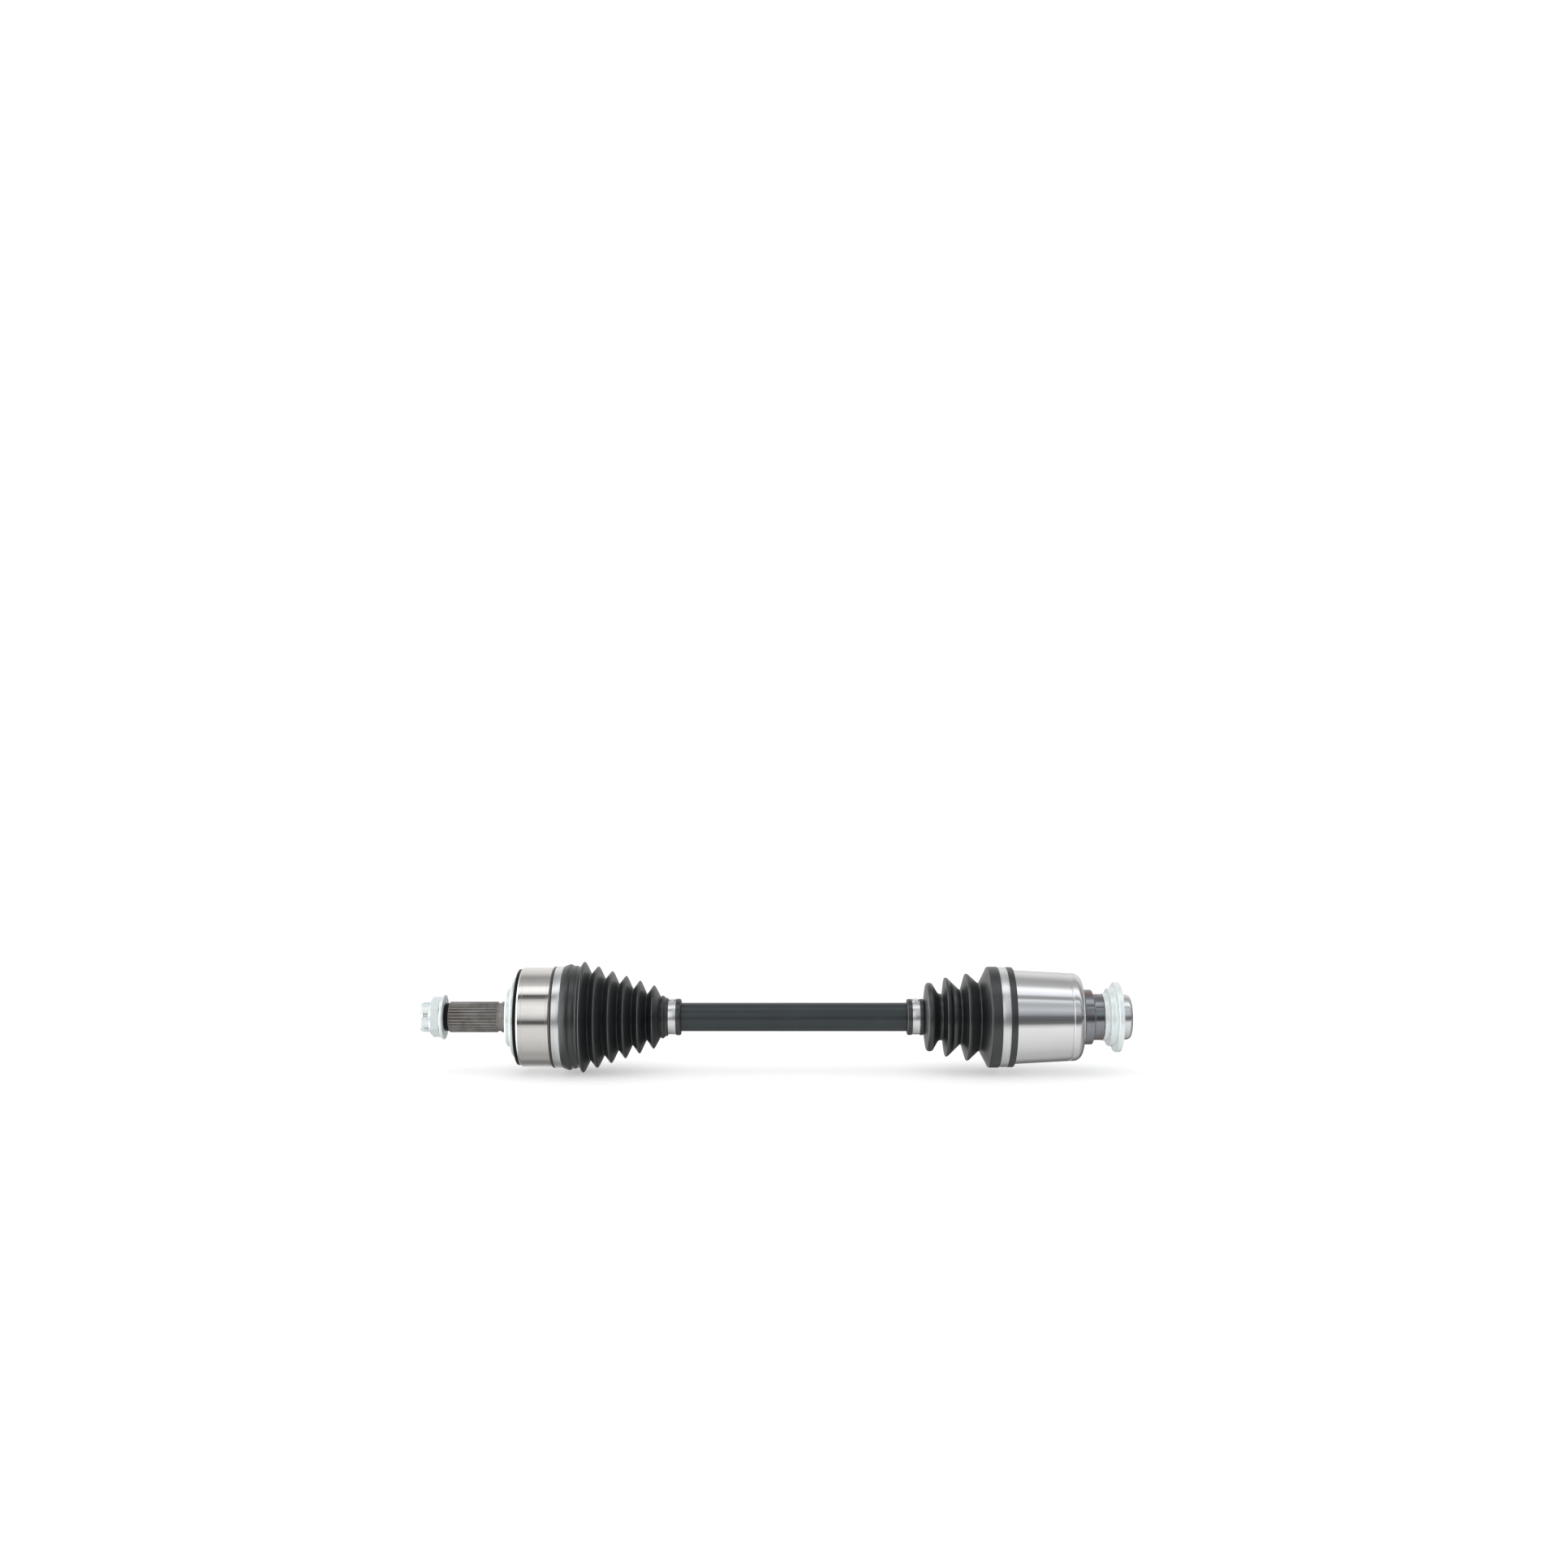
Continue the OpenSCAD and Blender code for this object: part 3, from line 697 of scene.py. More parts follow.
def bellows_tree():
    """A folded tube along X: crests and valleys between two lines, rounded, with plain ends."""
    length = "NodeSocketFloat"
    tree, given, result = geometry_tree(
        "Bellows",
        {
            "Start": (length, 0.06),
            "End": (length, 0.15),
            "First Crest": (length, 0.07),
            "Pitch": (length, 0.0128),
            "Crests": (length, 6.0),
            "Crest Start": (length, 0.05),
            "Crest End": (length, 0.029),
            "Valley Start": (length, 0.0426),
            "Valley End": (length, 0.0214),
            "Lean": (length, 0.5),
            "Crest Rounding": (length, 0.3),
            "Valley Rounding": (length, 0.2),
            "Start Radius": (length, 0.045),
            "End Radius": (length, 0.0185),
            "Plain Until": (length, -0.5),
            "Plain After": (length, 5.5),
            "Rings": ("NodeSocketInt", 320),
            "Segments": ("NodeSocketInt", 144),
            "Material": ("NodeSocketMaterial", None),
        },
    )
    line = add_node(
        tree, "GeometryNodeCurvePrimitiveLine",
        start=joined_vector(tree, given["Start"]), end=joined_vector(tree, given["End"]),
    )
    rings = add_node(tree, "GeometryNodeResampleCurve", curve=line, count=given["Rings"])
    x = split_vector(tree, add_node(tree, "GeometryNodeInputPosition"))[0]
    fold = math_node(tree, "DIVIDE", math_node(tree, "SUBTRACT", x, given["First Crest"]), given["Pitch"])
    share = math_node(tree, "DIVIDE", fold, math_node(tree, "SUBTRACT", given["Crests"], 1.0), clamp=True)
    crest = math_node(
        tree, "MULTIPLY_ADD", share,
        math_node(tree, "SUBTRACT", given["Crest End"], given["Crest Start"]), given["Crest Start"],
    )
    valley = math_node(
        tree, "MULTIPLY_ADD", share,
        math_node(tree, "SUBTRACT", given["Valley End"], given["Valley Start"]), given["Valley Start"],
    )
    phase = math_node(tree, "FRACT", math_node(tree, "ADD", fold, given["Lean"]))
    rise = math_node(tree, "DIVIDE", phase, given["Lean"])
    fall = math_node(
        tree, "DIVIDE", math_node(tree, "SUBTRACT", 1.0, phase),
        math_node(tree, "SUBTRACT", 1.0, given["Lean"]),
    )
    wave = math_node(tree, "SMOOTH_MIN", rise, fall, given["Crest Rounding"])
    wave = math_node(tree, "SMOOTH_MAX", wave, 0.0, given["Valley Rounding"])
    folds = math_node(tree, "MULTIPLY_ADD", wave, math_node(tree, "SUBTRACT", crest, valley), valley)
    radius = end_mix(tree, fold, given["Plain Until"], given["Start Radius"], folds, False)
    radius = end_mix(tree, fold, given["Plain After"], given["End Radius"], radius, True)
    sized = add_node(tree, "GeometryNodeSetCurveRadius", curve=rings, radius=radius)
    circle = add_node(tree, "GeometryNodeCurvePrimitiveCircle", resolution=given["Segments"], radius=1.0)
    tube = add_node(tree, "GeometryNodeCurveToMesh", curve=sized, profile_curve=circle, scale=radius)
    finish_tree(tree, tube, given["Material"], result)
    return tree


def end_mix(tree, fold, border, plain, folds, at_end):
    """Blends the folds into a plain radius beyond a border, over half a fold."""
    width = 0.5
    distance = math_node(tree, "SUBTRACT", fold, border)
    if not at_end:
        distance = math_node(tree, "MULTIPLY", distance, -1.0)
    share = add_node(tree, "ShaderNodeMapRange", value=distance, from_min=0.0, from_max=width)
    share.node.interpolation_type = "SMOOTHSTEP"
    gap = math_node(tree, "SUBTRACT", plain, folds)
    return math_node(tree, "MULTIPLY_ADD", share, gap, folds)


# ---------------------------------------------------------------- operators


class AxleOperator(bpy.types.Operator):
    """Makes one piece or one group of like pieces."""

    bl_options = {"REGISTER", "UNDO"}

    def execute(self, context):
        self.make()
        return {"FINISHED"}


def star_cavity(x, r, a, centre, ball_circle, track, count):
    """Radius of the ball joint's cavity from its centre, with one track for each ball."""
    latitude = np.arctan2(x - centre, r)
    offset = np.mod(a + TAU / count / 2, TAU / count) - TAU / count / 2
    sine = np.cos(latitude) * np.sin(offset)
    inside = np.clip(track**2 - (ball_circle * sine) ** 2, 0, None)
    reach = ball_circle * np.sqrt(1 - sine**2) + np.sqrt(inside)
    return np.where(inside > 0, reach, 0.0), latitude


class AXLE_OT_outer_housing(AxleOperator):
    """The ball joint's housing: threaded and splined stub, shoulder and bell"""

    bl_idname = "axle.outer_housing"
    bl_label = "Outer housing"

    def make(self):
        s = sizes()
        pitch, depth = s.thread_pitch / MM, s.thread_depth / MM
        end = first_x("outer_housing")
        thread_r, shank_r = 11.0, 12.8
        shank_x = last_x("nut_washer") + 0.1
        spline_x = SPLINE_END - SPLINE_L
        root_r = SPLINE_R - s.spline_depth / MM
        ring_x, bell_x = first_x("outer_backing_ring"), last_x("outer_backing_ring") + 0.1
        shoulder_r = 27.0
        collar_x = first_x("outer_boot") - 0.1
        mouth_x = last_x("outer_housing")
        seat_r = BELL_R - 2.5
        centre_hole_r = 2.6
        stub = fillet(
            [
                (end + 4.5, 0.0), (end + 1.6, centre_hole_r), (end, centre_hole_r + 0.9, 0.2),
                (end, thread_r - 1.6, 0.3), (end + 1.6, thread_r, 0.2),
            ]
        )
        threads = thread_rings(end + 1.9, shank_x - 1.6, pitch, thread_r)
        rest = fillet(
            [
                (shank_x - 1.2, thread_r - depth), (shank_x, thread_r - depth, 0.3),
                (shank_x, shank_r, 0.4), (spline_x - 1.2, shank_r, 0.3), (spline_x - 0.7, root_r - 0.3, 0.1),
                (SPLINE_END - 9.0, root_r, 0.2), (SPLINE_END - 8.6, root_r - 0.2, 0.4),
                (SPLINE_END - 5.7, root_r - 0.2, 0.5), (SPLINE_END - 5.3, SPLINE_R, 0.3),
                (SPLINE_END - 0.3, SPLINE_R, 0.3), (SPLINE_END, SPLINE_R + 0.6, 0.4),
                (SPLINE_END, shoulder_r - 1.2, 0.5), (SPLINE_END + 1.2, shoulder_r, 0.4),
                (SPLINE_END + 5.0, shoulder_r, 0.2), (SPLINE_END + 5.0, SHIELD_SEAT_R, 0.2),
                (ring_x, SHIELD_SEAT_R), (ring_x, RING_SEAT_R), (bell_x, RING_SEAT_R, 0.2),
                (bell_x, BELL_R - 2.4, 0.5), (bell_x + 2.2, BELL_R, 1.0),
                (bell_x + 5.6, BELL_R), (bell_x + 5.75, BELL_R - 0.12), (bell_x + 5.9, BELL_R),
                (collar_x - 2.6, BELL_R), (collar_x - 2.45, BELL_R - 0.12), (collar_x - 2.3, BELL_R),
                (collar_x - 0.2, BELL_R, 0.2), (collar_x, seat_r + 0.4, 0.2),
                (collar_x + 0.6, seat_r, 0.2), (mouth_x, seat_r, 0.6),
            ]
        )
        sphere_r, ball_circle, track = 33.3, 29.0, 10.6
        rim = BELL_R - 5.1
        flare = (31.0, 3.0, (rim - 31.0) / (mouth_x - BALL_JOINT_X - 3.0))
        inner_angles = np.linspace(math.atan2(mouth_x - BALL_JOINT_X, rim), -math.radians(88), 44)
        inner = [
            (BALL_JOINT_X + sphere_r * math.sin(t), sphere_r * math.cos(t)) for t in inner_angles
        ]
        bottom = [(BALL_JOINT_X - CAVITY_DEPTH, 0.0)]
        outline = stub + threads + rest + inner + bottom
        first_thread = len(stub)
        first_inner = len(stub) + len(threads) + len(rest)

        def shape(x, r, a):
            x, r = x.copy(), r.copy()
            rows = slice(first_thread, first_thread + len(threads))
            runout = np.clip((shank_x - 1.6 - x[rows]) / (2 * pitch), 0, 1)
            r[rows] -= depth * (1 - thread_height(x[rows], a[rows], pitch) * runout)
            rows = slice(first_inner, first_inner + len(inner))
            reach, latitude = star_cavity(x[rows], r[rows], a[rows], BALL_JOINT_X, ball_circle, track, 6)
            in_track = np.abs(latitude) < math.radians(50)
            distance = np.maximum(sphere_r, np.where(in_track, reach, 0.0))
            slope = np.cos(latitude) - flare[2] * np.sin(latitude)
            cone = (flare[0] - flare[1] * flare[2]) / np.maximum(slope, 1e-6)
            distance = np.where(latitude > 0.1, np.maximum(distance, cone), distance)
            to_mouth = (mouth_x - BALL_JOINT_X) / np.maximum(np.sin(latitude), 1e-6)
            distance = np.where(latitude > 0, np.minimum(distance, to_mouth), distance)
            to_floor = CAVITY_DEPTH / np.maximum(-np.sin(latitude), 1e-6)
            distance = np.where(latitude < 0, np.minimum(distance, to_floor), distance)
            x[rows] = BALL_JOINT_X + distance * np.sin(latitude)
            r[rows] = distance * np.cos(latitude)
            return x, r

        housing = revolve("outer_housing_body", outline, around(240), shape)
        zinc = finish("zinc plate")
        # The shank between the washer and the spline is painted in the black ring coating: painted shade for the
        # shadowed gap there, not a coating of the stub.
        paint_by_x(
            housing,
            [zinc, finish("ring coating and painted shade"), finish("stub steel"), zinc, finish("bell steel")],
            [shank_x - 0.1, spline_x - 1.0, SPLINE_END - 0.1, bell_x - 0.05],
        )
        settle(housing, "outer_joint", "turned_steel", "outer_housing")


class AXLE_OT_spline_teeth(AxleOperator):
    """The teeth of the stub's spline and of the gearbox-end socket"""

    bl_idname = "axle.spline_teeth"
    bl_label = "Spline teeth"

    def make(self):
        s = sizes()
        tree = spline_teeth_tree()
        pitch = TAU * SPLINE_R / s.stub_teeth
        spline_x = SPLINE_END - SPLINE_L
        stub = {
            "Count": s.stub_teeth,
            "Start": (spline_x - 0.3) * MM,
            "Length": (SPLINE_L - 8.9) * MM,
            "Root Radius": SPLINE_R * MM - s.spline_depth - 0.2 * MM,
            "Tip Radius": SPLINE_R * MM,
            "Root Width": 0.82 * pitch * MM,
            "Tip Width": 0.5 * pitch * MM,
            "Material": finish("stub steel"),
        }
        self.teeth("stub_spline", tree, stub, "outer_joint", "turned_steel")
        inner_pitch = TAU * SOCKET_R / s.socket_teeth
        socket = {
            "Count": s.socket_teeth,
            "Start": (SOCKET_X - SOCKET_L + 3.5) * MM,
            "Length": (SOCKET_L - 4.2) * MM,
            "Root Radius": SOCKET_R * MM + s.spline_depth + 0.2 * MM,
            "Tip Radius": SOCKET_R * MM,
            "Root Width": 0.82 * inner_pitch * MM,
            "Tip Width": 0.5 * inner_pitch * MM,
            "Material": finish("machined face"),
        }
        self.teeth("socket_spline", tree, socket, "inner_joint", "polished_steel")

    def teeth(self, name, tree, values, body, slot):
        def round_edges(carrier):
            bevel = carrier.modifiers.new("Edges", "BEVEL")
            bevel.width = 0.00012
            bevel.segments = 2
            bevel.limit_method = "ANGLE"

        piece = tidy_mesh(name, run_tree(name, tree, values, round_edges))
        settle(piece, body, slot)


class AXLE_OT_hub_nut(AxleOperator):
    """The castellated hub nut and its captive washer"""

    bl_idname = "axle.hub_nut"
    bl_label = "Hub nut and washer"

    def make(self):
        s = sizes()
        pitch, depth = s.thread_pitch / MM, s.thread_depth / MM
        start, end = first_x("hub_nut"), last_x("hub_nut")
        low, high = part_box("hub_nut")
        flats_r = (high[1] - low[1]) / 2 / MM
        corner_r = (high[2] - low[2]) / 2 / MM
        hex_x = start + 9.4
        slot_half = 2.1
        crown_r = 13.6
        slots = s.nut_slots
        slot_turn = TAU / 24
        edge = math.asin(slot_half / crown_r)
        outside, inside = 0.02, 0.012
        base = set(np.round(around(96), 6).tolist())
        for k in range(slots):
            middle = TAU * k / slots + slot_turn
            base -= {b for b in base if abs((b - middle + math.pi) % TAU - math.pi) < edge + 1.5 * outside}
            sides = (edge + outside, edge, edge - inside)
            base |= {(middle + d) % TAU for d in (0, *sides, *(-d for d in sides))}
        angles = np.array(sorted(base))
        crown = fillet(
            [
                (hex_x, crown_r, 0.3), (start + 2.6, crown_r, 0.8), (start, 12.3, 0.7),
                (start, NUT_BORE_R + 0.5, 0.3), (start + 0.9, NUT_BORE_R),
            ],
            5,
        )
        threads = thread_rings(start + 1.0, end - 1.2, pitch, NUT_BORE_R)
        hexagon = fillet(
            [
                (end, NUT_BORE_R + 1.2, 0.2), (end, corner_r - 0.5), (end - 0.6, corner_r),
                (end - 4.0, corner_r), (hex_x + 3.0, corner_r), (hex_x + 1.6, corner_r),
                (hex_x, flats_r - 0.6, 0.3),
            ]
        )

        def shape(x, r, a):
            x, r = x.copy(), r.copy()
            side = np.mod(a, TAU / 6) - TAU / 12
            flat = flats_r / np.cos(side)
            r = np.where(x > hex_x + 0.01, np.minimum(r, flat), r)
            rows = slice(len(crown), len(crown) + len(threads))
            r[rows] += depth * (1 - thread_height(x[rows], a[rows], pitch))
            turn = TAU / slots
            offset = np.mod(a - slot_turn + turn / 2, turn) - turn / 2
            in_slot = np.abs(offset) <= edge - 0.005
            floor = hex_x - 0.9
            squeezed = floor + (x - floor) * 0.002
            x = np.where(in_slot & (x < floor), squeezed, x)
            return x, r

        nut = revolve("hub_nut_body", crown + threads + hexagon, angles, shape)
        nut.data.materials.append(finish("zinc plate"))
        settle(nut, "hub_nut", "zinc", "hub_nut")
        first, last = first_x("nut_washer"), last_x("nut_washer")
        rim = radius_of("nut_washer")
        washer = revolve(
            "captive_washer",
            fillet(
                [
                    (first, NUT_BORE_R + 0.4, 0.3), (first, rim - 3.4, 0.9), (first + 1.1, rim - 0.9, 0.9),
                    (first + 1.6, rim, 0.5), (last, rim, 0.5), (last, rim - 3.0, 0.2),
                    (last - 0.35, rim - 3.5, 0.2), (last - 0.35, NUT_BORE_R + 1.4, 0.2),
                    (last, NUT_BORE_R + 1.0, 0.2), (last, NUT_BORE_R, 0.3),
                ],
                5,
            ),
        )
        washer.data.materials.append(finish("zinc plate"))
        settle(washer, "nut_washer", "zinc", "nut_washer")


class AXLE_OT_shields(AxleOperator):
    """The two zinc-plated dust shields and the black backing ring"""

    bl_idname = "axle.shields"
    bl_label = "Dust shields and backing ring"

    def make(self):
        start, end = first_x("outer_dust_shield"), last_x("outer_dust_shield")
        rim = radius_of("outer_dust_shield")
        bore = SHIELD_SEAT_R + 0.05
        self.ring(
            "outer_shield",
            [
                (end, bore, 0.2), (start + 0.5, bore, 0.3), (start, bore + 0.6, 0.3),
                (start, rim - 3.0, 0.8), (start + 0.9, rim - 0.6, 0.9), (start + 2.0, rim, 0.8),
                (end - 0.4, rim, 0.3), (end, rim - 0.4, 0.3),
            ],
            "zinc plate", "outer_joint", "zinc", "outer_dust_shield",
        )
        start, end = first_x("outer_backing_ring"), last_x("outer_backing_ring")
        rim = radius_of("outer_backing_ring")
        bore, lap_r = RING_SEAT_R + 0.05, rim + 1.3
        self.ring(
            "backing_ring",
            [
                (end, bore, 0.2), (start, bore, 0.2), (start, rim - 0.4, 0.6),
                (start + 0.9, lap_r, 0.5), (end + 0.9, lap_r, 0.3), (end + 0.9, lap_r - 0.6, 0.2),
                (end, lap_r - 1.5, 0.2),
            ],
            "ring coating and painted shade", "outer_joint", "black_ring", "outer_backing_ring",
        )
        start, end = first_x("inner_dust_shield"), last_x("inner_dust_shield")
        rim = radius_of("inner_dust_shield")
        sheet = 1.1
        collar_r, step_r, bore = 21.7, 26.5, 20.05
        self.ring(
            "inner_shield",
            [
                (start, bore, 0.3), (start, collar_r - 0.3, 0.3), (start + 0.5, collar_r, 0.4),
                (start + 3.9, collar_r, 0.9), (start + 4.6, step_r - 0.3, 1.1),
                (start + 5.6, step_r, 0.8), (start + 9.3, step_r, 1.2), (start + 10.5, rim - 0.7, 1.2),
                (start + 11.4, rim, 0.8), (end - 0.2, rim, 0.3), (end, rim - 0.2, 0.2),
                (end, rim - sheet, 0.3), (start + 12.2, rim - sheet, 0.8),
                (start + 10.9, step_r - sheet, 1.0), (start + 10.9, bore, 0.2),
            ],
            "zinc plate", "inner_joint", "zinc", "inner_dust_shield",
        )

    def ring(self, name, outline, material, body, slot, node):
        piece = revolve(name, fillet(outline, 5))
        piece.data.materials.append(finish(material))
        settle(piece, body, slot, node)


class AXLE_OT_clamps(AxleOperator):
    """The four band clamps with their crimped ears"""

    bl_idname = "axle.clamps"
    bl_label = "Band clamps"

    def make(self):
        housing_r = radius_of("tripod_housing")
        small_r = SMALL_SEAT_R + 0.04
        self.clamp("outer_large", BELL_R + 0.27, LARGE_EAR, "outer_joint")
        self.clamp("inner_large", housing_r + 1.92, LARGE_EAR, "inner_joint")
        self.clamp("outer_small", small_r, SMALL_EAR, "axle_shaft")
        self.clamp("inner_small", small_r, SMALL_EAR, "axle_shaft")

    def clamp(self, place, bore, ear_degrees, body):
        name, node = place + "_band", place + "_clamp"
        start, end = first_x(node), last_x(node)
        thick = sizes().band_thickness / MM
        ear = math.radians(ear_degrees)
        ear_half = 3.9 / bore
        ear_height = 2.0
        step = ear_half / 12
        near = ear + np.arange(-18, 19) * step
        far = np.linspace(near[-1], near[0] + TAU, 150)[1:-1]
        angles = np.concatenate([near, far])
        band = fillet(
            [(start, bore, 0.2), (start, bore + thick, 0.3), (end, bore + thick, 0.3), (end, bore, 0.2)], 3
        )

        def shape(x, r, a):
            offset = np.abs(np.mod(a - ear + math.pi, TAU) - math.pi) / ear_half
            bulge = np.clip((1.12 - offset) / 0.22, 0, 1)
            bulge = bulge * bulge * (3 - 2 * bulge)
            waist = 1 - 0.18 * np.exp(-((offset / 0.35) ** 2))
            return x, r + ear_height * bulge * waist

        ring = revolve(name + "_ring", band, angles, shape)
        tail_start, tail_end = ear + ear_half * 1.9, ear + ear_half * 1.9 + math.radians(52)
        tail = self.tail(name + "_tail", start, end, bore + thick, tail_start, tail_end)
        piece = join(name, [ring, tail])
        piece.data.materials.append(finish("clamp band"))
        settle(piece, body, "band_steel", node)

    def tail(self, name, start, end, radius, from_angle, to_angle):
        """The band's free end, which lies over its first turn and is hooked through it."""
        thick = sizes().band_thickness / MM
        inset = 0.35
        steps = 40
        work = bmesh.new()
        sections = []
        for i in range(steps + 1):
            t = i / steps
            a = from_angle + (to_angle - from_angle) * t
            taper = 0.5 + 0.5 * min(1.0, 6 * t, 6 * (1 - t))
            half = (end - start - 2 * inset) / 2 * taper
            middle = (start + end) / 2
            lift = thick * min(1.0, 8 * t + 0.25, 8 * (1 - t) + 0.25)
            corners = [
                (middle - half, radius - 0.02), (middle - half, radius + lift),
                (middle + half, radius + lift), (middle + half, radius - 0.02),
            ]
            sections.append(
                [work.verts.new((x * MM, -r * math.sin(a) * MM, r * math.cos(a) * MM)) for x, r in corners]
            )
        for one, two in zip(sections, sections[1:]):
            for k in range(4):
                work.faces.new((one[k], one[(k + 1) % 4], two[(k + 1) % 4], two[k]))
        work.faces.new(sections[0])
        work.faces.new(sections[-1])
        mesh = bpy.data.meshes.new(name)
        work.to_mesh(mesh)
        work.free()
        return tidy_mesh(name, mesh)


def bellows_piece(name, values, material):
    """The folded tube of a boot as a plain mesh object, before it has its wall."""
    return placed(name, run_tree(name, bellows_tree(), {**values, "Material": material}))


def cut_lengths(piece, borders, names, wall):
    """Cuts a thin tube at x values and gives each length its wall. Returns the lengths."""
    lengths = []
    far = 1e3
    limits = [-far, *borders, far]
    for name, low, high in zip(names, limits, limits[1:]):
        work = bmesh.new()
        work.from_mesh(piece.data)
        for x, side in ((low, 1), (high, -1)):
            if abs(x) < far:
                bmesh.ops.bisect_plane(
                    work, geom=work.verts[:] + work.edges[:] + work.faces[:], dist=1e-7,
                    plane_co=(x * MM, 0, 0), plane_no=(-side, 0, 0), clear_outer=True,
                )
        bmesh.ops.remove_doubles(work, verts=work.verts, dist=1e-6)
        bmesh.ops.recalc_face_normals(work, faces=work.faces)
        outward = sum(f.normal.yz.dot(f.calc_center_median().yz) for f in work.faces)
        if outward < 0:
            bmesh.ops.reverse_faces(work, faces=work.faces)
        mesh = bpy.data.meshes.new(name)
        work.to_mesh(mesh)
        work.free()
        length = placed(name, mesh)
        solid = length.modifiers.new("Wall", "SOLIDIFY")
        solid.thickness = wall
        solid.offset = -1.0
        evaluated = length.evaluated_get(bpy.context.evaluated_depsgraph_get())
        solid_mesh = bpy.data.meshes.new_from_object(evaluated)
        length.modifiers.clear()
        length.data = solid_mesh
        solid_mesh.name = name
        solid_mesh.materials.clear()
        solid_mesh.materials.append(finish("rubber"))
        solid_mesh.shade_smooth()
        lengths.append(length)
    bpy.data.objects.remove(piece)
    return lengths


def rubber_ring(name, outline, body, *nodes):
    """A plain moulded ring at the end of a boot."""
    piece = revolve(name, fillet(outline, 5))
    piece.data.materials.append(finish("rubber"))
    return settle(piece, body, "boot_rubber", *nodes)


class AXLE_OT_outer_boot(AxleOperator):
    """The wheel-end boot: collar, six folds and lip"""

    bl_idname = "axle.outer_boot"
    bl_label = "Outer boot"

    def make(self):
        start, end = first_x("outer_boot"), last_x("outer_boot")
        clamp_start, clamp_end = first_x("outer_large_clamp"), last_x("outer_large_clamp")
        lip_x = last_x("outer_small_clamp") + 0.1
        seat_r = BELL_R - 2.45
        band_r = BELL_R + 0.23
        rubber_ring(
            "outer_boot_collar",
            [
                (start, seat_r, 0.2), (start, BELL_R + 0.8, 0.6), (start + 0.9, BELL_R + 1.2, 0.5),
                (clamp_start - 0.3, BELL_R + 1.2, 0.4), (clamp_start - 0.1, band_r, 0.2),
                (clamp_end + 0.1, band_r, 0.2), (clamp_end + 0.3, BELL_R + 1.6, 0.6),
                (clamp_end + 5.8, BELL_R + 3.6, 1.6), (clamp_end + 8.0, BELL_R + 2.0, 1.4),
                (clamp_end + 8.6, BELL_R + 1.0, 0.6), (clamp_end + 8.4, seat_r + 0.1, 0.4),
            ],
            "outer_joint",
        )
        first_crest, pitch, crests, lean = BALL_JOINT_X + 33.0, 12.8, 6, 0.5
        values = {
            "Start": (clamp_end + 7.0) * MM,
            "End": (lip_x - 7.8) * MM,
            "First Crest": first_crest * MM,
            "Pitch": pitch * MM,
            "Crests": float(crests),
            "Crest Start": (radius_of("outer_boot") + 1.0) * MM,
            "Crest End": (BAR_R + 17.1) * MM,
            "Valley Start": (BELL_R - 3.6) * MM,
            "Valley End": (BAR_R + 5.4) * MM,
            "Lean": lean,
            "Crest Rounding": 0.6,
            "Valley Rounding": 0.2,
            "Start Radius": (BELL_R + 1.9) * MM,
            "End Radius": (BAR_R + 4.4) * MM,
            "Plain Until": -0.05,
            "Plain After": crests - 0.6,
            "Rings": 300,
            "Segments": 128,
        }
        tube = bellows_piece("outer_boot_tube", values, finish("rubber"))
        cut = first_crest + (2 - lean) * pitch
        names = ["outer_boot_wide_folds", "outer_boot_narrow_folds"]
        wide, narrow = cut_lengths(tube, [cut], names, sizes().boot_wall)
        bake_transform(wide)
        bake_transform(narrow)
        for folds in (wide, narrow):
            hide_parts("outer_boot")
        rubber_ring(
            "outer_boot_lip",
            [
                (lip_x - 9.4, 14.6, 0.4), (lip_x - 9.4, 17.3, 0.5), (lip_x - 7.5, 17.3, 0.6),
                (lip_x - 7.25, SMALL_SEAT_R, 0.2), (lip_x - 0.05, SMALL_SEAT_R, 0.2),
                (lip_x + 0.1, 16.7, 0.4), (end - 0.9, 16.7, 0.8), (end, 15.9, 0.5),
                (end, BORE_R, 0.3), (lip_x - 8.4, BORE_R, 0.3),
            ],
            "axle_shaft",
        )


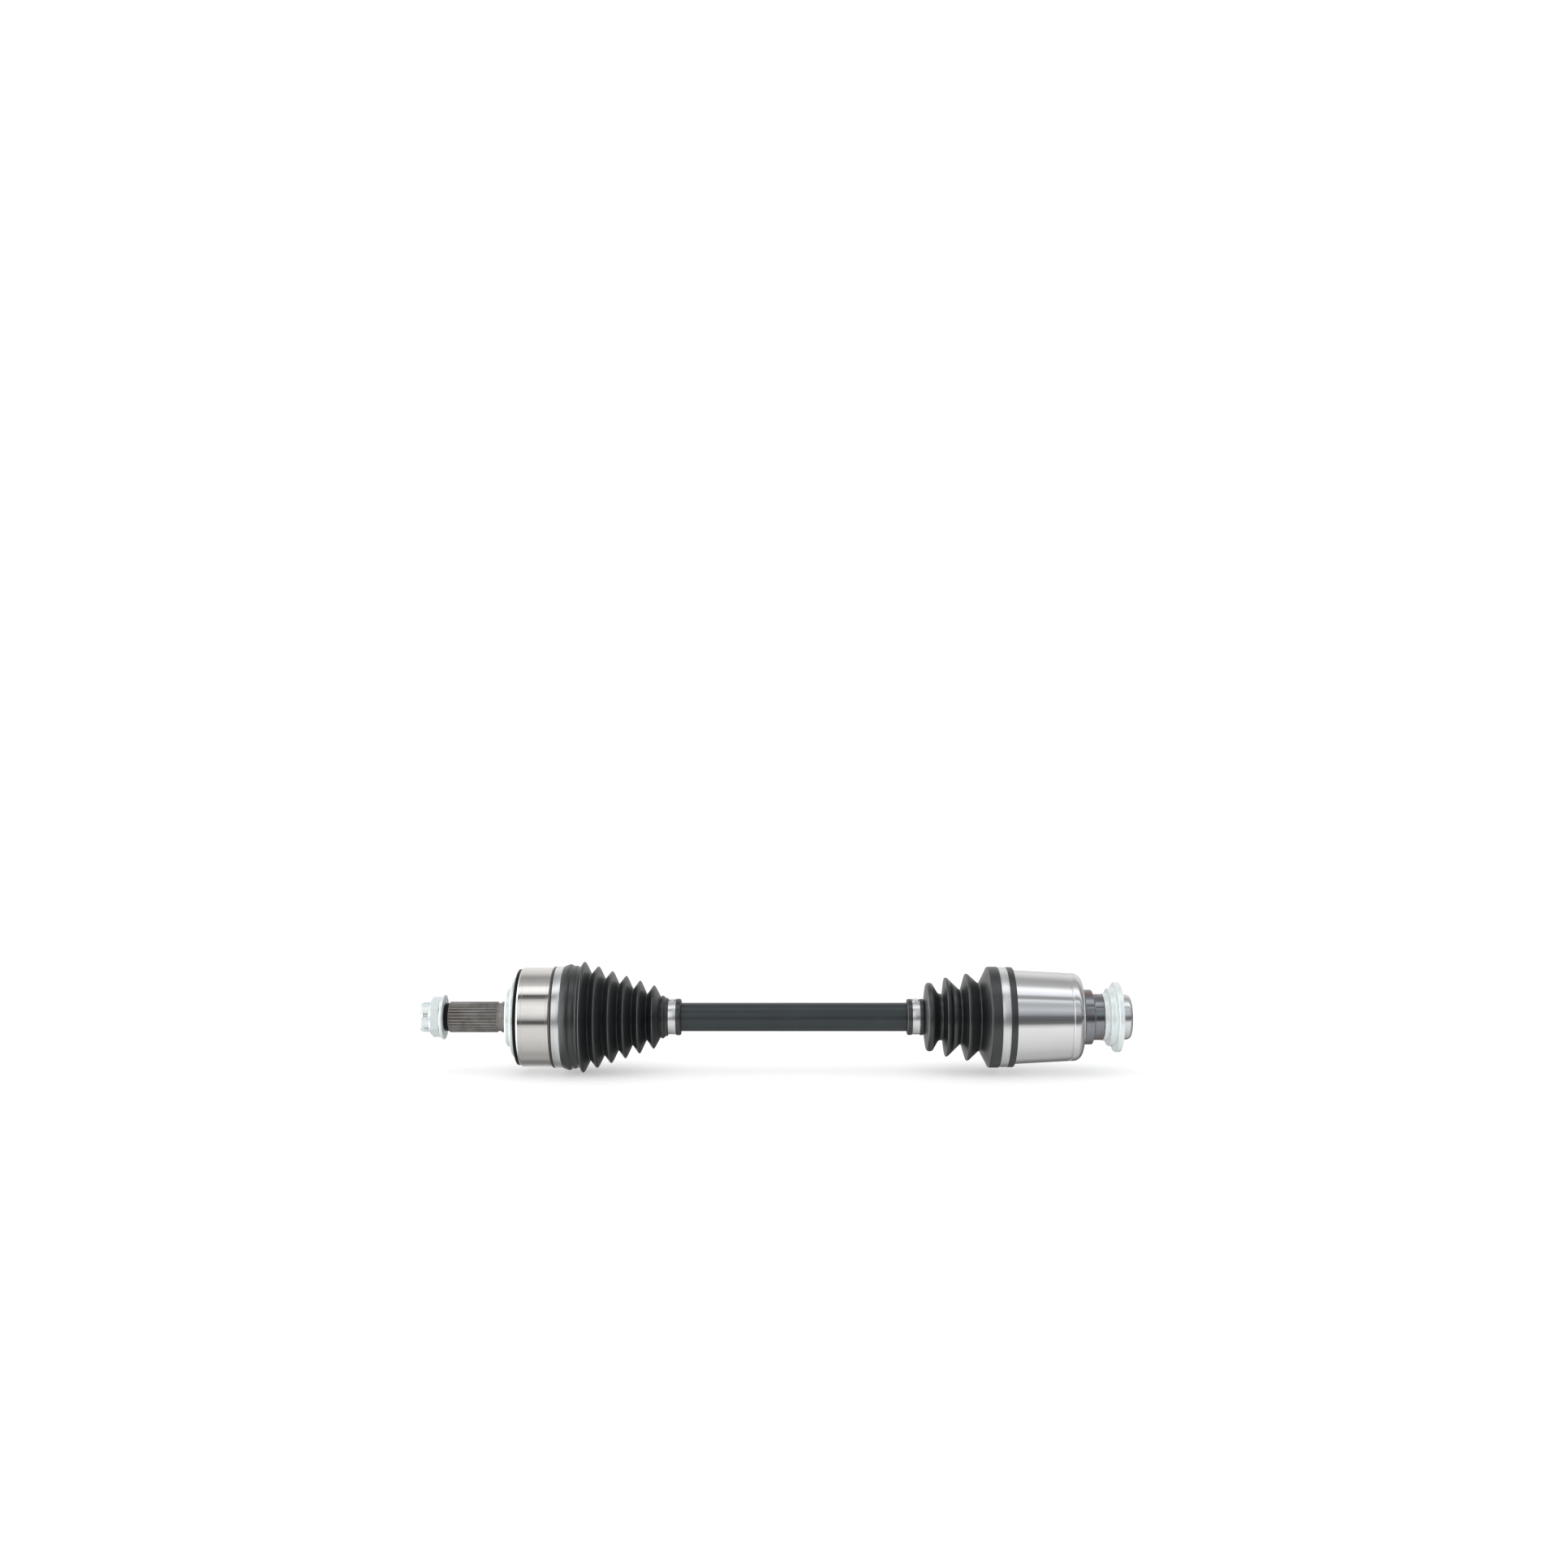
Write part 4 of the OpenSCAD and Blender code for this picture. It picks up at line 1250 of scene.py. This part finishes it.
class AXLE_OT_inner_boot(AxleOperator):
    """The gearbox-end boot: lip, three saw-tooth folds and collar"""

    bl_idname = "axle.inner_boot"
    bl_label = "Inner boot"

    def make(self):
        start = first_x("inner_boot_front")
        split = last_x("inner_boot_front") + 0.2
        end = last_x("inner_boot_rear")
        collar_r = radius_of("inner_boot_rear")
        clamp_start, clamp_end = first_x("inner_large_clamp"), last_x("inner_large_clamp")
        band_x = first_x("inner_small_clamp")
        neck_x = last_x("inner_small_clamp") + 0.1
        housing_r = radius_of("tripod_housing")
        rubber_ring(
            "inner_boot_lip",
            [
                (start, BORE_R, 0.3), (start, 15.7, 0.5), (start + 0.8, 16.5, 0.7),
                (band_x - 0.2, 16.5, 0.4), (band_x - 0.1, SMALL_SEAT_R, 0.2),
                (neck_x, SMALL_SEAT_R, 0.2), (neck_x + 0.1, 16.6, 0.5), (neck_x + 3.2, 16.6, 0.8),
                (neck_x + 3.4, 14.2, 0.4), (neck_x + 2.0, BORE_R, 0.3),
            ],
            "axle_shaft",
        )
        tube = revolve("inner_boot_tube", fillet(self.fold_line(neck_x, split), 6), around(144))
        self.open_tube(tube)
        first, second = split + 10.0, split + 23.5
        names = ["inner_boot_front_fold", "inner_boot_middle_fold", "inner_boot_rear_fold"]
        front, middle, rear = cut_lengths(tube, [first, second], names, sizes().boot_wall)
        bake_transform(front)
        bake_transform(middle)
        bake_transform(rear)
        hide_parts("inner_boot_front")
        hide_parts("inner_boot_rear")
        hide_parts("inner_boot_rear")
        band_r = housing_r + 1.86
        bore = housing_r - 0.4
        rubber_ring(
            "inner_boot_collar",
            [
                (MOUTH_X - 0.6, 42.7, 0.4), (MOUTH_X - 0.6, collar_r - 0.6, 0.9),
                (MOUTH_X + 0.8, collar_r, 0.9), (clamp_start - 0.2, collar_r, 0.7),
                (clamp_start - 0.1, band_r, 0.2), (clamp_end + 0.1, band_r, 0.2),
                (clamp_end + 0.2, collar_r - 0.4, 0.5), (end - 0.8, collar_r - 0.4, 0.7),
                (end, collar_r - 1.0, 0.5), (end, bore, 0.3), (MOUTH_X + 0.4, bore, 0.3),
            ],
            "inner_joint",
        )

    def fold_line(self, neck_x, split):
        """The saw-tooth line of the folds, steep towards the bar, ending under the collar."""
        return [
            (neck_x + 1.0, 15.6), (neck_x + 3.8, 16.0, 1.2), (split - 13.2, 31.2, 2.4),
            (split - 8.2, 31.4, 2.6), (split - 2.2, 21.2, 2.0), (split + 1.8, 21.2, 1.6),
            (split + 4.0, 36.3, 1.6), (split + 6.0, 35.8, 1.5), (split + 17.3, 25.0, 1.5),
            (split + 18.6, 25.4, 1.2), (split + 23.0, 39.8, 1.8), (split + 25.0, 39.4, 1.6),
            (split + 34.2, 31.0, 1.6), (split + 35.4, 31.4, 1.4), (split + 42.6, 45.0, 1.2),
            (split + 44.4, 45.3),
        ]

    def open_tube(self, tube):
        """Takes away the wall that closes the line from its end back to its start."""
        work = bmesh.new()
        work.from_mesh(tube.data)
        longest = max(e.calc_length() for e in work.edges)
        seam = [f for f in work.faces if max(e.calc_length() for e in f.edges) > 0.9 * longest]
        bmesh.ops.delete(work, geom=seam, context="FACES")
        work.to_mesh(tube.data)
        work.free()


class AXLE_OT_bar(AxleOperator):
    """The solid bar between the joints"""

    bl_idname = "axle.bar"
    bl_label = "Axle bar"

    def make(self):
        start, end = first_x("axle_bar"), last_x("axle_bar")
        spline_r = 12.0
        groove = 10.7
        race_end = last_x("inner_race") + 0.1
        outline = fillet(
            [
                (start, 0.0), (start, spline_r - 1.0, 0.2), (start + 1.0, spline_r, 0.2),
                (start + 1.9, spline_r), (start + 1.9, groove), (start + 4.0, groove),
                (start + 4.0, spline_r), (race_end, spline_r, 0.2), (race_end + 1.0, BAR_R, 0.4),
                (TRIPOD_X - 50.0, BAR_R, 3.0), (TRIPOD_X - 46.0, spline_r, 3.0),
                (TRIPOD_X - 14.0, spline_r), (TRIPOD_X - 14.0, groove), (TRIPOD_X - 12.0, groove),
                (TRIPOD_X - 12.0, spline_r), (TRIPOD_X + 12.0, spline_r), (TRIPOD_X + 12.0, groove),
                (TRIPOD_X + 14.0, groove), (TRIPOD_X + 14.0, spline_r), (end - 1.0, spline_r, 0.2),
                (end, spline_r - 1.0, 0.2), (end, 0.0),
            ]
        )
        bar = revolve("solid_bar", outline)
        paint_by_x(
            bar,
            [finish("hardened steel"), finish("bar paint"), finish("hardened steel")],
            [race_end + 8.0, TRIPOD_X - 40.0],
        )
        settle(bar, "axle_shaft", "bar_paint", "axle_bar")


class AXLE_OT_tripod_housing(AxleOperator):
    """The tripod joint's housing, with its three tracks, neck and splined socket"""

    bl_idname = "axle.tripod_housing"
    bl_label = "Tripod housing"

    def make(self):
        s = sizes()
        end = last_x("tripod_housing")
        r = radius_of("tripod_housing")
        seat = r - 0.75
        collar = last_x("inner_boot_rear")
        land = TRIPOD_X + 44.0
        shield = first_x("inner_dust_shield")
        cavity = TRIPOD_X + 38.0
        bore_r, rim_r = 21.3, 30.5
        socket_root = SOCKET_R + s.spline_depth / MM
        socket_bottom = SOCKET_X - SOCKET_L
        outside = fillet(
            [
                (MOUTH_X, rim_r + 6.5, 0.4), (MOUTH_X, seat, 0.4), (collar - 0.5, seat, 0.2),
                (collar, r, 0.3), (land - 0.7, r - 2.7, 0.25), (land - 0.45, r - 3.3, 0.2),
                (land + 0.45, r - 3.3, 0.2), (land + 0.7, r - 2.7, 0.25), (land + 6.2, r - 2.9, 1.8),
                (land + 10.6, r - 6.0, 2.8), (land + 12.6, 25.9, 1.2), (land + 13.2, 25.0, 0.6),
                (land + 21.2, 25.0, 0.7), (land + 21.9, 21.4, 0.5), (land + 22.6, 21.0, 0.3),
                (shield - 0.7, 21.0, 0.3), (shield - 0.4, 20.0, 0.2), (land + 46.8, 20.0),
                (land + 46.8, 20.5), (end - 2.2, 20.5, 1.6), (end, 18.9, 0.9),
                (end, socket_root + 1.5, 0.4), (end - 1.5, socket_root, 0.3),
                (socket_bottom + 3.2, socket_root, 0.2), (socket_bottom + 3.2, SOCKET_R, 0.2),
                (socket_bottom, SOCKET_R, 0.3), (socket_bottom, 11.0, 0.3), (cavity, 11.0, 0.2),
            ]
        )
        track_steps = [cavity - 0.01 * (cavity - MOUTH_X)] + list(np.linspace(cavity - 2.0, MOUTH_X, 16))
        inside = [(cavity, 16.0), (cavity, bore_r)] + [(x, bore_r) for x in track_steps]
        first_track = len(outside) + 1

        def shape(x, r, a):
            x, r = x.copy(), r.copy()
            rows = slice(first_track, None)
            offset = np.mod(a[rows] + TAU / 6, TAU / 3) - TAU / 6
            circle, track_r, reach = 23.75, 16.3, 34.5
            inside_track = track_r**2 - (circle * np.sin(offset)) ** 2
            lobe = circle * np.cos(offset) + np.sqrt(np.clip(inside_track, 0, None))
            lobe = np.minimum(lobe, reach / np.cos(offset))
            lobe = np.where(inside_track > 0, lobe, 0.0)
            cone = rim_r - (x[rows] - MOUTH_X) * 0.4
            r[rows] = np.maximum(np.maximum(bore_r, lobe), cone)
            return x, r

        housing = revolve("tripod_housing_body", outside + inside, around(240), shape)
        paint_by_x(
            housing,
            [finish("housing steel"), finish("forged steel"), finish("machined face")],
            [land + 11.9, shield + 0.2],
        )
        settle(housing, "inner_joint", "polished_steel", "tripod_housing")


class AXLE_OT_inner_parts(AxleOperator):
    """Finishes for the parts that work inside the two joints"""

    bl_idname = "axle.inner_parts"
    bl_label = "Inner part finishes"

    def make(self):
        finish_by_slot = {
            "hardened_steel": "hardened steel",
            "bearing_steel": "bearing steel",
            "spring_steel": "spring steel",
        }
        for part in frame["record"]["subparts"]:
            wanted = finish_by_slot.get(part["material_slot"])
            if wanted:
                node = frame["nodes"][part["node"]]
                for slot in node.material_slots:
                    slot.material = finish(wanted)


class AXLE_OT_stage(AxleOperator):
    """The floor, the soft light and the camera"""

    bl_idname = "axle.stage"
    bl_label = "Stage"

    def make(self):
        scene = bpy.context.scene
        scene.view_settings.view_transform = "Standard"
        low, high = CAD_BOX
        self.floor(low[2])
        self.light_dome()
        self.soft_box(low, high)
        self.camera(low, high)

    def floor(self, height):
        half = 6.0
        mesh = bpy.data.meshes.new("floor")
        corners = [(-half, -half, height), (half, -half, height), (half, half, height), (-half, half, height)]
        mesh.from_pydata(corners, [], [(0, 1, 2, 3)])
        floor = placed("floor", mesh)
        material, _, shader = blank_material("pale floor")
        shader.inputs["Base Color"].default_value = (0.62, 0.62, 0.62, 1.0)
        shader.inputs["Emission Color"].default_value = (1.0, 1.0, 1.0, 1.0)
        shader.inputs["Emission Strength"].default_value = 0.42
        shader.inputs["Roughness"].default_value = 0.9
        shader.inputs["Specular IOR Level"].default_value = 0.1
        mesh.materials.append(material)
        floor.visible_glossy = False

    def light_dome(self):
        """A white dome whose reflections are the bands of a studio: panels, gaps and dark flags."""
        world = bpy.data.worlds.new("soft studio")
        bpy.context.scene.world = world
        world.use_nodes = True
        tree = world.node_tree
        background = next(n for n in tree.nodes if n.type == "BACKGROUND")
        along, back, up = split_vector(tree, tree.nodes.new("ShaderNodeTexCoord").outputs["Generated"])
        angle = math_node(tree, "ARCTAN2", up, math_node(tree, "MULTIPLY", back, -1.0))
        share = ranged(tree, angle, -math.pi, math.pi, 0.0, 1.0)
        wheel_side = self.bands(tree, share, WHEEL_SIDE_BANDS)
        gearbox_side = self.bands(tree, share, GEARBOX_SIDE_BANDS)
        side = ranged(tree, along, -0.07, 0.03, 0.0, 1.0)
        reflected = mixed_colour(tree, side, wheel_side, gearbox_side)
        wheel_end = ranged(tree, along, -0.9, -0.6, 1.0, 0.0)
        reflected = mixed_colour(tree, wheel_end, reflected, WHEEL_END_LIGHT)
        gearbox_end = ranged(tree, along, 0.45, 0.9, 0.0, 0.65)
        reflected = mixed_colour(tree, gearbox_end, reflected, GEARBOX_END_LIGHT)
        path = tree.nodes.new("ShaderNodeLightPath")
        dome = mixed_colour(tree, path.outputs["Is Glossy Ray"], (1.0, 1.0, 1.0), reflected)
        tree.links.new(dome, background.inputs["Color"])
        background.inputs["Strength"].default_value = 1.06

    def bands(self, tree, share, stops):
        """A ramp over the angle about the axle, from stops of (degrees, brightness, warmth)."""
        ramp = add_node(tree, "ShaderNodeValToRGB", fac=share)
        elements = ramp.node.color_ramp.elements
        while len(elements) > 1:
            elements.remove(elements[-1])
        for i, (degrees, value, warmth) in enumerate(stops):
            position = (degrees + 180) / 360
            element = elements[0] if i == 0 else elements.new(position)
            element.position = position
            element.color = (value * (1 + warmth), value, value * (1 - warmth), 1.0)
        return ramp

    def soft_box(self, low, high):
        """One large lamp overhead, a little to the front, for a soft shadow under the axle."""
        lamp = bpy.data.lights.new("overhead", "AREA")
        lamp.shape = "RECTANGLE"
        lamp.size = 1.8
        lamp.size_y = 1.2
        lamp.energy = 3.0
        light = placed("overhead", lamp)
        middle = (Vector(low) + Vector(high)) / 2
        light.location = middle + Vector((-0.2, -0.35, 1.5))
        light.rotation_euler = (middle - light.location).to_track_quat("-Z", "Y").to_euler()
        light.visible_glossy = False

    def camera(self, low, high):
        """The camera looks level from the front, a little right of the middle and above the axle."""
        distance, rise, aside = 1.60, 0.214, 0.008
        middle = (low[0] + high[0]) / 2
        lens = bpy.data.cameras.new("camera")
        lens.sensor_width = 36.0
        lens.lens = 36.0 * distance / 1.4405
        lens.clip_start = 0.01
        lens.clip_end = 50.0
        camera = placed("camera", lens)
        camera.location = (middle + aside, -distance, rise)
        camera.rotation_euler = (math.radians(90), 0.0, 0.0)
        bpy.context.scene.camera = camera


# Colours of the light from beyond the two ends of the axle.
WHEEL_END_LIGHT = (2.6, 2.6, 2.56)
GEARBOX_END_LIGHT = (0.12, 0.12, 0.12)

# Reflected brightness round the axle, as (degrees up from the front, brightness, warmth).
WHEEL_SIDE_BANDS = [
    (-180, 0.60, 0.01), (-150, 0.52, 0.01), (-132, 0.24, 0.01), (-118, 0.22, 0.01), (-104, 0.42, 0.01),
    (-88, 0.42, 0.01), (-72, 0.58, 0.01), (-40, 0.78, 0.01), (-20, 0.82, 0.01), (-13, 0.64, 0.0),
    (-8, 0.06, 0.0), (-3, 0.10, 0.0), (4, 0.62, 0.0), (14, 0.92, 0.0), (30, 1.02, 0.0),
    (40, 0.90, 0.0), (47, 0.60, 0.0), (52, 0.14, 0.0), (59, 0.10, 0.0), (63, 0.90, 0.0),
    (70, 1.24, 0.0), (79, 1.20, 0.0), (86, 0.66, 0.0), (96, 0.48, 0.0), (110, 0.36, 0.0),
    (116, 0.40, 0.01), (124, 0.62, 0.01), (136, 0.80, 0.01), (160, 0.92, 0.01), (180, 0.70, 0.01),
]
GEARBOX_SIDE_BANDS = [
    (-180, 0.26, 0.0), (-150, 0.14, 0.0), (-136, 0.22, 0.0), (-118, 0.46, 0.0), (-96, 0.52, 0.0),
    (-76, 0.64, 0.0), (-50, 0.76, 0.0), (-22, 0.86, 0.0), (-15, 0.60, 0.0), (-9, 0.16, 0.0),
    (0, 0.12, -0.02), (8, 0.16, -0.05), (15, 0.40, -0.05), (25, 0.60, -0.04), (38, 0.46, -0.04),
    (44, 0.60, -0.03), (49, 0.86, -0.02), (54, 0.36, -0.02), (59, 0.32, -0.02), (66, 0.90, -0.03),
    (78, 1.22, -0.02), (84, 1.06, -0.01), (91, 0.58, 0.0), (100, 0.44, 0.0), (114, 0.40, 0.0),
    (122, 0.50, 0.0), (132, 0.66, 0.0), (146, 0.80, 0.0), (180, 0.60, 0.0),
]


class AXLE_PT_pieces(bpy.types.Panel):
    """Lists the operators that make the axle"""

    bl_label = "Drive Axle"
    bl_idname = "AXLE_PT_pieces"
    bl_space_type = "VIEW_3D"
    bl_region_type = "UI"
    bl_category = "Axle"

    def draw(self, context):
        for operator in OPERATORS:
            self.layout.operator(operator.bl_idname)
        for settings in (context.scene.axle_sizes, context.scene.axle_finishes):
            box = self.layout.box()
            for name in settings.bl_rna.properties.keys():
                if name not in ("rna_type", "name"):
                    box.prop(settings, name)


OPERATORS = (
    AXLE_OT_stage,
    AXLE_OT_outer_housing,
    AXLE_OT_spline_teeth,
    AXLE_OT_hub_nut,
    AXLE_OT_shields,
    AXLE_OT_clamps,
    AXLE_OT_outer_boot,
    AXLE_OT_inner_boot,
    AXLE_OT_bar,
    AXLE_OT_tripod_housing,
    AXLE_OT_inner_parts,
)
CLASSES = (AxleSizes, AxleFinishes, *OPERATORS, AXLE_PT_pieces)


def register():
    """Registers the classes and hangs the settings on the scene."""
    for cls in CLASSES:
        bpy.utils.register_class(cls)
    bpy.types.Scene.axle_sizes = PointerProperty(type=AxleSizes)
    bpy.types.Scene.axle_finishes = PointerProperty(type=AxleFinishes)


def unregister():
    """Takes the settings and the classes away again."""
    del bpy.types.Scene.axle_finishes
    del bpy.types.Scene.axle_sizes
    for cls in reversed(CLASSES):
        bpy.utils.unregister_class(cls)


def main():
    """Makes every piece in order."""
    register()
    for operator in OPERATORS:
        group, name = operator.bl_idname.split(".")
        getattr(getattr(bpy.ops, group), name)()


if __name__ == "__main__":
    main()
